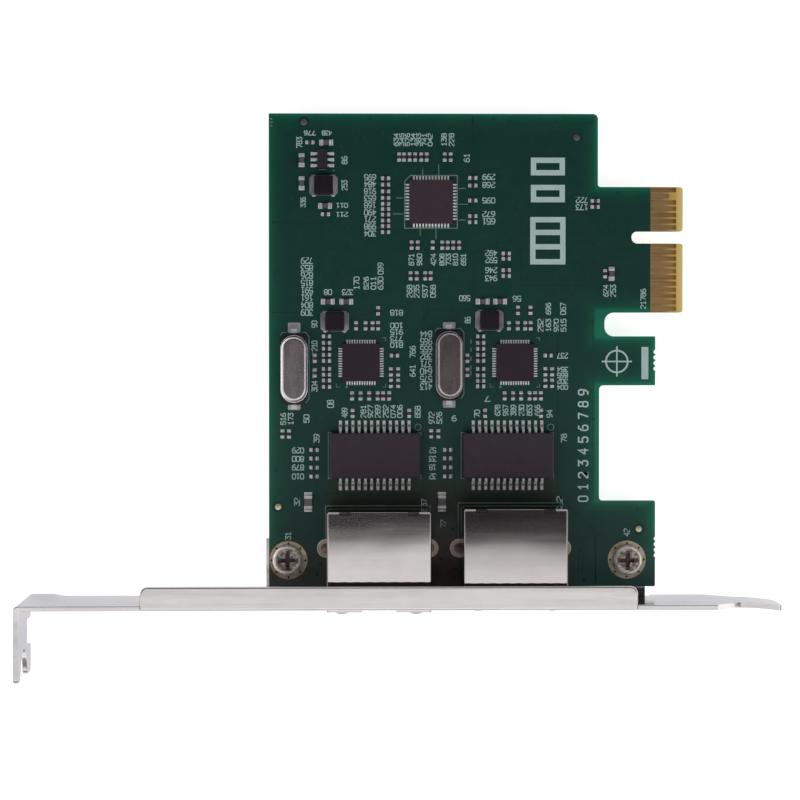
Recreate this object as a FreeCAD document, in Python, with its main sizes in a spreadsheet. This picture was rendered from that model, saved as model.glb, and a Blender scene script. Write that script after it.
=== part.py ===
# Two-port network interface card for a one-lane edge slot, on a full-height
# bracket.  Millimetres, +Z out of the component side of the board, +X towards
# the edge contacts, +Y away from the bracket.  The origin is at the middle of
# the card's plan, on the plane of its lowest edge.
import FreeCAD, Part
import math
import os
import re
import Sketcher

V = FreeCAD.Vector
doc = FreeCAD.newDocument("network_card")

# ----------------------------------------------------------------- sizes ----
sheet = doc.addObject("Spreadsheet::Sheet", "Sizes")
sizes = {}
_row = [1]


def size(alias, value, note=""):
    """one driving dimension: note in column A, value in column B"""
    r = _row[0]
    _row[0] += 1
    sheet.set("A%d" % r, note or alias.replace("_", " "))
    sheet.set("B%d" % r, repr(float(value)))
    sheet.setAlias("B%d" % r, alias)
    sizes[alias] = float(value)


# board outline
size("board_top", 5.63, "height of the component side above the lowest edge")
size("board_thick", 1.6)
size("board_left", -20.80)
size("board_far", 44.80, "edge opposite the bracket")
size("board_near", -31.00, "edge beside the bracket")
size("shoulder_right", 31.92)
size("contact_first", 13.64, "centre of the first contact along Y")
size("contact_pitch", 1.0)
size("contact_wide", 0.7)
size("contact_thick", 0.04)
size("contact_inner", 40.40, "inner end of the contacts")
size("contact_outer", 44.48)
size("contact_short", 43.32, "outer end of the short sensing contact")
size("finger_end", 45.62)
size("finger_low", 12.99)
size("finger_high", 33.12)
size("bevel_long", 1.1)
size("bevel_deep", 0.40)
size("key_low", 24.07)
size("key_high", 26.01)
size("key_left", 37.32)
size("hook_left", 33.01)
size("hook_low", 9.19)
size("hook_tab_right", 41.19)
size("cut_high", 1.31)
size("cut_low", -17.24)
size("cut_left", 32.17)
size("near_tab_right", 41.20)
# mounting screws and holes
size("screw_left_x", -17.70)
size("screw_right_x", 36.66)
size("screw_line_y", -26.70)
size("screw_hole", 1.40, "radius in the board")
size("screw_shank", 1.25, "radius of the M2.5 thread")
size("screw_head", 2.42, "radius of the pan head")
size("screw_head_tall", 1.65)
size("screw_dish", 1.80, "radius of the sunk face inside the rim")
size("screw_dish_deep", 0.12)
size("screw_shift_x", -0.11, "left screw off the middle of its hole")
size("screw_shift_y", 0.09)
size("land_screw", 3.05, "outer radius of the land under a screw")
size("land_jack", 1.50, "outer radius of the land round a shield tab")
size("land_thick", 0.04)
# jacks
size("jack_left_x", -3.37)
size("jack_right_x", 17.93)
size("jack_left_front", -33.84)
size("jack_right_front", -33.40)
size("jack_stand", 0.05, "gap under a jack")
size("jack_wide", 16.30)
size("jack_tall", 13.35)
size("jack_long", 15.60)
size("shield_sheet", 0.25)
size("shield_tab_line", -24.80, "Y of the shield tabs' holes")
size("shield_tab_half", 8.25, "hole to jack centre line")
size("shield_tab_hole", 0.85)
size("peg_radius", 1.50)
size("peg_hole", 1.75)
size("peg_half", 5.72)
size("peg_back", 5.30, "from the jack's front to its pegs")
size("tail_row_one", 11.60, "from the jack's front to the first row of tails")
size("tail_row_two", 14.14)
size("tail_pitch", 1.27)
size("tail_hole", 0.48)
# bracket
size("bracket_half", 60.01, "half of the 120.02 mm overall length")
size("bracket_sheet", 0.86)
size("bracket_outer", -33.37, "outer face of the plate")
size("bracket_low", 3.17, "long lower edge of the plate")
size("bracket_high", 21.59, "fold line of the flange")
size("fold_round", 0.42, "outer radius of the flange fold")
size("edge_round", 0.28, "rolled rim of the flange")
size("plate_round", 0.16, "rolled edge of the plate and the tab")
size("wide_end", -55.60, "end of the wider zone near the tab")
size("wide_slope", -53.60)
size("shoulder_start", 49.20, "where the plate starts to taper")
size("tongue_start", 53.30)
size("tongue_low", 7.29)
size("tongue_high", 17.47)
size("tongue_set", 0.55, "outward set of the tongue's tip")
size("flange_left", -40.45)
size("flange_right", 36.75)
size("flange_wide", 3.78)
size("flange_corner", 1.2)
size("tab_reach", 11.25, "from the plate's outer face to the tab's end")
size("slot_round", 5.2, "radius of the open screw slot")
size("slot_deep", 4.5)
size("slot_centre", 13.1)
size("side_notch_start", 2.45)
size("side_notch_long", 4.3)
size("side_notch_deep", 5.4)
size("window_wide", 16.70)
size("window_low", 5.45)
size("window_high", 19.20)
size("ear_wide", 6.65)
size("ear_end", -23.25)
size("ear_relief", 0.8)
# integrated circuits
size("bridge_x", 5.15)
size("bridge_y", 30.69)
size("bridge_side", 7.0)
size("bridge_pitch", 0.5)
size("controller_left_x", -6.06)
size("controller_right_x", 18.60)
size("controller_y", 5.00)
size("controller_side", 6.0)
size("controller_pitch", 0.4)
size("flat_pack_tall", 0.85)
size("flat_pack_land", 0.62, "lead land showing beyond the body")
# magnetics
size("magnetics_left_x", -3.86)
size("magnetics_right_x", 17.44)
size("magnetics_y", -9.89)
size("magnetics_long", 14.45)
size("magnetics_wide", 7.2)
size("magnetics_tall", 2.55)
size("magnetics_stand", 0.12)
size("magnetics_span", 10.9, "over the leads' tips")
# crystals
size("crystal_left_x", -16.76)
size("crystal_left_y", 3.95)
size("crystal_right_x", 8.06)
size("crystal_right_y", 4.60)
size("crystal_lip_long", 10.85)
size("crystal_lip_wide", 4.36)
size("crystal_can_long", 10.35)
size("crystal_can_wide", 4.00)
size("crystal_tall", 3.35, "can over its lip")
size("crystal_base_tall", 0.55)
# inductors
size("coil_one_x", -12.05)
size("coil_one_y", 33.33)
size("coil_two_x", -10.26)
size("coil_two_y", 11.60)
size("coil_three_x", 14.52)
size("coil_three_y", 11.75)
size("coil_core_long", 3.00)
size("coil_core_wide", 2.98)
size("coil_core_tall", 1.75)
size("coil_over_ends", 4.36)
size("coil_over_sides", 3.30)
size("coil_end_tall", 0.55)
# regulator
size("regulator_x", -12.22)
size("regulator_y", 37.42)
size("regulator_wide", 1.62)
size("regulator_long", 2.95)
size("regulator_tall", 1.05)
size("regulator_span", 3.3)
# chip components: length, width, height, termination
size("small_long", 1.02)
size("small_wide", 0.52)
size("small_cap_tall", 0.50)
size("small_res_tall", 0.35)
size("small_end", 0.24)
size("medium_long", 1.62)
size("medium_wide", 0.82)
size("medium_tall", 0.80)
size("medium_end", 0.34)
size("large_long", 2.02)
size("large_wide", 1.25)
size("large_tall", 0.95)
size("large_end", 0.42)
size("bite_radius", 0.33)
size("bite_deep", 0.20)
size("bite_first", -23.32, "bites along the near tab")
size("hook_bite_first", 6.69, "bites along the hook tab")
size("bite_pitch", 0.90)
doc.recompute()

# -------------------------------------------------------------- formulas ----
_token = re.compile(r"\s*([A-Za-z_][A-Za-z_0-9]*|\d+\.\d+|\d+|[-+*/()])")


def _tokens(text):
    out, at = [], 0
    while at < len(text):
        m = _token.match(text, at)
        out.append(m.group(1))
        at = m.end()
    return out


def _sum(t):
    v = _product(t)
    while t and t[0] in "+-":
        op = t.pop(0)
        w = _product(t)
        v = v + w if op == "+" else v - w
    return v


def _product(t):
    v = _single(t)
    while t and t[0] in "*/":
        op = t.pop(0)
        w = _single(t)
        v = v * w if op == "*" else v / w
    return v


def _single(t):
    k = t.pop(0)
    if k == "-":
        return -_single(t)
    if k == "(":
        v = _sum(t)
        t.pop(0)
        return v
    return sizes[k] if k in sizes else float(k)


def num(text):
    """value of a formula written in the sheet's words"""
    if not isinstance(text, str):
        return float(text)
    return _sum(_tokens(text))


def formula(text):
    """the same formula with every word pointing at its cell"""
    if not isinstance(text, str):
        return repr(float(text))
    return "".join(" Sizes.%s " % k if k in sizes else " %s " % k for k in _tokens(text))


def bind(obj, prop, text):
    obj.setExpression(prop, formula(text))


def place(obj, x, y, z):
    bind(obj, "Placement.Base.x", x)
    bind(obj, "Placement.Base.y", y)
    bind(obj, "Placement.Base.z", z)


# --------------------------------------------------------- part builders ----
parts = []


def keep(obj, label):
    obj.Label = label
    parts.append((label, obj))
    return obj


def body(name):
    b = doc.addObject("PartDesign::Body", name)
    b.AllowCompound = True
    return b


def plane(b, role):
    return [o for o in b.Origin.OriginFeatures if o.Role == role][0]


def new_sketch(b, name, role, offset=0):
    s = b.newObject("Sketcher::SketchObject", name)
    s.AttachmentSupport = [(plane(b, role), "")]
    s.MapMode = "FlatFace"
    s.setExpression("AttachmentOffset.Base.z", formula(offset))
    return s


def add_outline(s, points):
    """closed polygon; every corner is dimensioned from the body's origin"""
    n0 = s.GeometryCount
    pts = [V(num(x), num(y), 0) for x, y in points]
    n = len(pts)
    for i in range(n):
        s.addGeometry(Part.LineSegment(pts[i], pts[(i + 1) % n]), False)
    for i in range(n):
        s.addConstraint(Sketcher.Constraint("Coincident", n0 + i, 2, n0 + (i + 1) % n, 1))
    for i in range(n):
        for kind, value, text in (("DistanceX", pts[i].x, points[i][0]),
                                  ("DistanceY", pts[i].y, points[i][1])):
            c = s.addConstraint(Sketcher.Constraint(kind, -1, 1, n0 + i, 1, value))
            if isinstance(text, str):
                s.setExpression("Constraints[%d]" % c, formula(text))


def add_circle(s, x, y, r):
    g = s.addGeometry(Part.Circle(V(num(x), num(y), 0), V(0, 0, 1), num(r)), False)
    for kind, text in (("DistanceX", x), ("DistanceY", y)):
        c = s.addConstraint(Sketcher.Constraint(kind, -1, 1, g, 3, num(text)))
        if isinstance(text, str):
            s.setExpression("Constraints[%d]" % c, formula(text))
    c = s.addConstraint(Sketcher.Constraint("Radius", g, num(r)))
    if isinstance(r, str):
        s.setExpression("Constraints[%d]" % c, formula(r))


def rect(x0, y0, x1, y1):
    return [(x0, y0), (x1, y0), (x1, y1), (x0, y1)]


def outline(b, name, role, points, offset=0):
    s = new_sketch(b, name, role, offset)
    add_outline(s, points)
    return s


def pad(b, s, length, back=False, middle=False):
    p = b.newObject("PartDesign::Pad", s.Name + "_pad")
    p.Profile = s
    bind(p, "Length", length)
    p.Reversed = back
    if middle:
        p.Midplane = True
    doc.recompute()
    return p


def pocket(b, s, length=None, back=False, through=False):
    before = b.Shape.Volume
    p = b.newObject("PartDesign::Pocket", s.Name + "_pocket")
    p.Profile = s
    if through:
        p.Type = 1
        p.Midplane = True
    else:
        bind(p, "Length", length)
        p.Reversed = back
    doc.recompute()
    if not b.Shape.Volume < before - 1e-6:
        raise RuntimeError("%s cuts nothing" % p.Name)
    return p


def edges_where(shape, test):
    return ["Edge%d" % (i + 1) for i, e in enumerate(shape.Edges) if test(e)]


def near(a, b, tol=1e-3):
    return abs(a - b) < tol


def along(e, axis):
    if not isinstance(e.Curve, Part.Line):
        return False
    d = e.Curve.Direction
    return abs(abs(getattr(d, axis)) - 1) < 1e-6


def mid(e):
    return e.valueAt((e.FirstParameter + e.LastParameter) / 2)


def fillet(b, names, radius, kind="PartDesign::Fillet"):
    if not names:
        raise RuntimeError("no edge to round on %s" % b.Name)
    f = b.newObject(kind, b.Name + "_round")
    f.Base = (b.Tip if b.Tip != f else f.BaseFeature, names)
    if kind == "PartDesign::Fillet":
        bind(f, "Radius", radius)
    else:
        bind(f, "Size", radius)
    b.Tip = f
    doc.recompute()
    return f


def round_at(b, base, spots, radius, axis="z", kind="PartDesign::Fillet"):
    """round the edges along one axis that pass through the given spots"""
    shape = base.Shape
    others = [k for k in "xyz" if k != axis]
    names = []
    for spot in spots:
        want = [num(t) for t in spot]
        got = edges_where(shape, lambda e: along(e, axis)
                          and near(getattr(mid(e), others[0]), want[0])
                          and near(getattr(mid(e), others[1]), want[1]))
        if not got:
            raise RuntimeError("no edge at %s on %s" % (spot, b.Name))
        names += got
    f = b.newObject(kind, b.Name + "_round")
    f.Base = (base, names)
    bind(f, "Radius" if kind == "PartDesign::Fillet" else "Size", radius)
    b.Tip = f
    doc.recompute()
    return f


def row(b, original, axis_role, pitch, count, name):
    p = b.newObject("PartDesign::LinearPattern", name)
    p.Originals = [original]
    p.Direction = (plane(b, axis_role), [""])
    p.Mode = "Spacing"
    bind(p, "Offset", pitch)
    p.Occurrences = count
    b.Tip = p
    doc.recompute()
    return p


# ---------------------------------------------------------- circuit board ----
board = body("board")
low = "board_top-board_thick"
s = outline(board, "board_outline", "XY_Plane", [
    ("board_left", "board_near"), ("near_tab_right", "board_near"),
    ("near_tab_right", "cut_low"), ("cut_left", "cut_low"),
    ("cut_left", "cut_high"), ("hook_tab_right", "cut_high"),
    ("hook_tab_right", "hook_low"), ("hook_left", "hook_low"),
    ("hook_left", "finger_low"), ("finger_end", "finger_low"),
    ("finger_end", "key_low"), ("key_left", "key_low"),
    ("key_left", "key_high"), ("finger_end", "key_high"),
    ("finger_end", "finger_high"), ("shoulder_right", "finger_high"),
    ("shoulder_right", "board_far"), ("board_left", "board_far")], low)
p = pad(board, s, "board_thick")
p = round_at(board, p, [("cut_left", "cut_low"), ("cut_left", "cut_high")], 0.65)
p = round_at(board, p, [("hook_left", "hook_low"), ("hook_left", "finger_low")], 1.5)
p = round_at(board, p, [("key_left", "key_low"), ("key_left", "key_high")], 0.95)
p = round_at(board, p, [("shoulder_right", "board_far")], 0.8)
p = round_at(board, p, [("finger_end", "finger_low"), ("finger_end", "key_low"),
                        ("finger_end", "key_high"), ("finger_end", "finger_high"),
                        ("shoulder_right", "finger_high")], 0.45)
p = round_at(board, p, [("board_left", "board_near"), ("near_tab_right", "board_near"),
                        ("near_tab_right", "cut_low"), ("hook_tab_right", "cut_high"),
                        ("hook_tab_right", "hook_low"), ("board_left", "board_far")], 0.2)
s = new_sketch(board, "bevels", "XZ_Plane", 0)
add_outline(s, [("finger_end-bevel_long", "board_top"), ("finger_end", "board_top-bevel_deep"),
                ("finger_end+1", "board_top-bevel_deep"), ("finger_end+1", "board_top+1"),
                ("finger_end-bevel_long", "board_top+1")])
add_outline(s, [("finger_end-bevel_long", low), ("finger_end", low + "+bevel_deep"),
                ("finger_end+1", low + "+bevel_deep"), ("finger_end+1", low + "-1"),
                ("finger_end-bevel_long", low + "-1")])
pocket(board, s, through=True)
s = new_sketch(board, "board_holes", "XY_Plane", "board_top")
for x in ("screw_left_x", "screw_right_x"):
    add_circle(s, x, "screw_line_y", "screw_hole")
for cx in ("jack_left_x", "jack_right_x"):
    for side in ("-", "+"):
        add_circle(s, cx + side + "shield_tab_half", "shield_tab_line", "shield_tab_hole")
        add_circle(s, cx + side + "peg_half", "(jack_left_front+jack_right_front)/2+peg_back", "peg_hole")
    for i in range(8):
        rowy = "tail_row_one" if i % 2 == 0 else "tail_row_two"
        add_circle(s, "%s+%.1f*tail_pitch" % (cx, i) + "-3.5*tail_pitch",
                   "(jack_left_front+jack_right_front)/2+" + rowy, "tail_hole")
pocket(board, s, "board_thick")
# bites left along the two tabs where the card was broken out of its panel
s = new_sketch(board, "break_off_bites", "XY_Plane", "board_top")
for i in range(4):
    add_circle(s, "near_tab_right+bite_radius-bite_deep", "bite_first-%.1f*bite_pitch" % i, "bite_radius")
    add_circle(s, "hook_tab_right+bite_radius-0.28", "hook_bite_first-%.1f*bite_pitch" % i, "bite_radius")
pocket(board, s, "board_thick")
keep(board, "circuit_board")


# ------------------------------------------------------- edge contact rows ----
def contacts(name, label, z, short):
    b = body(name)
    half = "contact_wide/2"

    def strip(tag, k, outer):
        y = "contact_first+%.1f*contact_pitch" % k
        return outline(b, name + tag, "XY_Plane",
                       rect("contact_inner", y + "-" + half, outer, y + "+" + half), z)
    first = 1 if short == 1 else 0
    a = pad(b, strip("_a", first, "contact_outer"), "contact_thick")
    row(b, a, "Y_Axis", "contact_pitch", 11 - first, name + "_row_a")
    last = 19 if short == 1 else 16
    c = pad(b, strip("_b", 13, "contact_outer"), "contact_thick")
    row(b, c, "Y_Axis", "contact_pitch", 7 if short == 1 else 5, name + "_row_b")
    if short == 1:
        pad(b, strip("_c", 0, "contact_short"), "contact_thick")
    else:
        pad(b, strip("_c", 18, "contact_short"), "contact_thick")
        pad(b, strip("_d", 19, "contact_outer"), "contact_thick")
    keep(b, label)


contacts("fingers_top", "edge_contacts_component_side", "board_top", 17)
contacts("fingers_low", "edge_contacts_solder_side", low + "-contact_thick", 1)

# ------------------------------------------------------------ plated lands ----
lands = body("lands")
s = new_sketch(lands, "land_rings", "XY_Plane", "board_top")
for x in ("screw_left_x", "screw_right_x"):
    add_circle(s, x, "screw_line_y", "land_screw")
    add_circle(s, x, "screw_line_y", "screw_hole")
for cx in ("jack_left_x", "jack_right_x"):
    for side in ("-", "+"):
        add_circle(s, cx + side + "shield_tab_half", "shield_tab_line", "land_jack")
        add_circle(s, cx + side + "shield_tab_half", "shield_tab_line", "shield_tab_hole")
pad(lands, s, "land_thick")
keep(lands, "plated_lands")

# -------------------------------------------------------- mounting bracket ----
br = body("bracket")
inner = "bracket_outer+bracket_sheet"
# middle length: plate and folded flange, one angle profile
s = outline(br, "angle_profile", "YZ_Plane", [
    ("bracket_outer", "bracket_low"), (inner, "bracket_low"),
    (inner, "bracket_high-bracket_sheet"),
    ("bracket_outer+flange_wide", "bracket_high-bracket_sheet"),
    ("bracket_outer+flange_wide", "bracket_high"), ("bracket_outer", "bracket_high")],
    "flange_left")
p = pad(br, s, "flange_right-flange_left")
p = round_at(br, p, [("bracket_outer", "bracket_high")], "fold_round", "x")
p = round_at(br, p, [(inner, "bracket_high-bracket_sheet")], 0.30, "x")
p = round_at(br, p, [("flange_left", "bracket_outer+flange_wide"),
                     ("flange_right", "bracket_outer+flange_wide")], "flange_corner", "z")
rim = edges_where(p.Shape, lambda e: near(mid(e).z, num("bracket_high"))
                  and mid(e).y > num("bracket_outer") + 0.6)
f = br.newObject("PartDesign::Fillet", "flange_rim")
f.Base = (p, rim)
bind(f, "Radius", "edge_round")
br.Tip = f
doc.recompute()
# plate towards the tab, with its wider zone
s = outline(br, "plate_left", "XZ_Plane", [
    ("-bracket_half", 0), ("wide_end", 0), ("wide_slope", "bracket_low"),
    ("flange_left", "bracket_low"), ("flange_left", "bracket_high"),
    ("-bracket_half", "bracket_high")], "-bracket_outer")
pad(br, s, "bracket_sheet", back=True)
# plate towards the tongue, tapering at both edges
s = outline(br, "plate_right", "XZ_Plane", [
    ("flange_right", "bracket_low"), ("shoulder_start", "bracket_low"),
    ("tongue_start", "tongue_low"), ("tongue_start", "tongue_high"),
    ("shoulder_start", "bracket_high"), ("flange_right", "bracket_high")], "-bracket_outer")
pad(br, s, "bracket_sheet", back=True)
# tongue, set outward towards its tip
tl = "(bracket_half-tongue_start)"
s = outline(br, "tongue", "XY_Plane", [
    ("tongue_start", "bracket_outer"),
    ("tongue_start+0.30*" + tl, "bracket_outer-0.08*tongue_set"),
    ("tongue_start+0.62*" + tl, "bracket_outer-0.42*tongue_set"),
    ("bracket_half", "bracket_outer-tongue_set"),
    ("bracket_half", inner + "-tongue_set"),
    ("tongue_start+0.62*" + tl, inner + "-0.42*tongue_set"),
    ("tongue_start+0.30*" + tl, inner + "-0.08*tongue_set"),
    ("tongue_start", inner)], "tongue_low")
pad(br, s, "tongue_high-tongue_low")
# bent screw tab
s = outline(br, "screw_tab", "YZ_Plane", rect(
    "bracket_outer-tab_reach", "bracket_low", inner, "bracket_high"), "-bracket_half")
pad(br, s, "bracket_sheet")
# ears folded under the board
for tag, x in (("ear_left", "screw_left_x"), ("ear_right", "screw_right_x")):
    shift = "-0.25" if tag == "ear_left" else "-0.22"
    s = outline(br, tag, "XY_Plane", rect(
        x + shift + "-ear_wide/2", "bracket_outer+bracket_sheet/2",
        x + shift + "+ear_wide/2", "ear_end"), "bracket_low")
    pad(br, s, "bracket_sheet")
# jack windows
s = new_sketch(br, "jack_windows", "XZ_Plane", "-bracket_outer")
for x in ("jack_left_x", "jack_right_x"):
    add_outline(s, rect(x + "-window_wide/2", "window_low", x + "+window_wide/2", "window_high"))
pocket(br, s, through=True)
# relief cuts each side of the ears
s = new_sketch(br, "ear_reliefs", "XZ_Plane", "-bracket_outer")
for tag, x in (("ear_left", "screw_left_x"), ("ear_right", "screw_right_x")):
    shift = "-0.25" if tag == "ear_left" else "-0.22"
    add_outline(s, rect(x + shift + "-ear_wide/2-ear_relief", "bracket_low-1",
                        x + shift + "-ear_wide/2", "bracket_low+1.9"))
    add_outline(s, rect(x + shift + "+ear_wide/2", "bracket_low-1",
                        x + shift + "+ear_wide/2+ear_relief", "bracket_low+1.9"))
pocket(br, s, "bracket_sheet")
# open screw slot, rounded, and side notch in the tab
s = new_sketch(br, "tab_slot", "YZ_Plane", "-bracket_half")
add_circle(s, "bracket_outer-tab_reach+slot_deep-slot_round", "slot_centre", "slot_round")
pocket(br, s, "bracket_sheet+0.01", back=True)
s = outline(br, "tab_side_notch", "YZ_Plane", rect(
    "bracket_outer-side_notch_start-side_notch_long", "bracket_low-1",
    "bracket_outer-side_notch_start", "bracket_low+side_notch_deep"), "-bracket_half")
p = pocket(br, s, "bracket_sheet+0.01", back=True)
# holes tapped in the ears
s = new_sketch(br, "ear_holes", "XY_Plane", "bracket_low")
add_circle(s, "screw_left_x+screw_shift_x", "screw_line_y+screw_shift_y", "screw_shank")
add_circle(s, "screw_right_x", "screw_line_y", "screw_shank")
p = pocket(br, s, "bracket_sheet", back=True)
# bends and corners
p = round_at(br, p, [("-bracket_half+bracket_sheet", "bracket_outer")], 0.45, "z")
ears = edges_where(p.Shape, lambda e: along(e, "x") and near(mid(e).y, num("bracket_outer"))
                   and near(mid(e).z, num("bracket_low"))
                   and (abs(mid(e).x - num("screw_left_x") + 0.25) < 1
                        or abs(mid(e).x - num("screw_right_x") + 0.22) < 1))
f = br.newObject("PartDesign::Fillet", "ear_bends")
f.Base = (p, ears)
bind(f, "Radius", 0.8)
br.Tip = f
doc.recompute()
outer_bend = edges_where(f.Shape, lambda e: along(e, "z")
                         and near(mid(e).x, num("-bracket_half"))
                         and near(mid(e).y, num(inner)) and mid(e).z > 5)
g = br.newObject("PartDesign::Fillet", "tab_bend")
g.Base = (f, outer_bend)
bind(g, "Radius", 0.8)
br.Tip = g
doc.recompute()
corner = edges_where(g.Shape, lambda e: (along(e, "y") and near(mid(e).x, num("bracket_half"), 0.02))
                     or (along(e, "x") and near(mid(e).y, num("bracket_outer-tab_reach"))))
h = br.newObject("PartDesign::Fillet", "tip_corners")
h.Base = (g, corner)
bind(h, "Radius", 0.8)
br.Tip = h
doc.recompute()
# rolled edges along the top of the plate and the tab, both sides
top = edges_where(h.Shape, lambda e: near(mid(e).z, num("bracket_high"))
                  and (mid(e).x < num("flange_left") - 0.6 or mid(e).x > num("flange_right") + 0.6)
                  and not (along(e, "y") and mid(e).y > num("bracket_outer")))
k = br.newObject("PartDesign::Fillet", "rolled_edges")
k.Base = (h, top)
bind(k, "Radius", "plate_round")
br.Tip = k
doc.recompute()
keep(br, "mounting_bracket")


# ----------------------------------------------------------- bracket screws ----
def screw(name, label, x, y):
    b = body(name)
    s = outline(b, name + "_profile", "XZ_Plane", [
        (0, "0-board_thick-bracket_sheet-land_thick-0.5"),
        ("screw_shank-0.3", "0-board_thick-bracket_sheet-land_thick-0.5"),
        ("screw_shank", "0-board_thick-bracket_sheet-land_thick-0.2"),
        ("screw_shank", 0), ("screw_head", 0), ("screw_head", "0.50*screw_head_tall"),
        ("0.965*screw_head", "0.70*screw_head_tall"),
        ("0.90*screw_head", "0.86*screw_head_tall"),
        ("0.83*screw_head", "0.96*screw_head_tall"),
        ("0.77*screw_head", "screw_head_tall"),
        ("screw_dish", "screw_head_tall-0.45*screw_dish_deep"),
        ("screw_dish-0.06", "screw_head_tall-screw_dish_deep"),
        (0, "screw_head_tall-screw_dish_deep")])
    r = b.newObject("PartDesign::Revolution", name + "_turn")
    r.Profile = s
    r.ReferenceAxis = (plane(b, "Z_Axis"), [""])
    r.Angle = 360
    b.Tip = r
    doc.recompute()
    # crossed recess, wide at the mouth and narrower below
    a, c, w = "0.655*screw_head", "0.46*screw_head", "0.14*screw_head"
    k = "1.35*" + w
    s = outline(b, name + "_cross", "XY_Plane", [
        ("-" + a, "-" + w), ("-" + k, "-" + w), ("-" + k, "-" + k), ("-" + w, "-" + k),
        ("-" + w, "-" + a), (w, "-" + a), (w, "-" + k), (k, "-" + k), (k, "-" + w),
        (a, "-" + w), (a, w), (k, w), (k, k), (w, k), (w, a), ("-" + w, a),
        ("-" + w, k), ("-" + k, k), ("-" + k, w), ("-" + a, w)], "screw_head_tall")
    pocket(b, s, 0.62)
    s = outline(b, name + "_deep", "XY_Plane", [
        ("-" + c, "-" + w), ("-" + w, "-" + w), ("-" + w, "-" + c), (w, "-" + c),
        (w, "-" + w), (c, "-" + w), (c, w), (w, w), (w, c), ("-" + w, c),
        ("-" + w, w), ("-" + c, w)], "screw_head_tall")
    pocket(b, s, 1.15)
    place(b, x, y, "board_top+land_thick")
    return keep(b, label)


sl = screw("screw_a", "bracket_screw_left", "screw_left_x+screw_shift_x",
           "screw_line_y+screw_shift_y")
sr = screw("screw_b", "bracket_screw_right", "screw_right_x", "screw_line_y")


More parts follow.
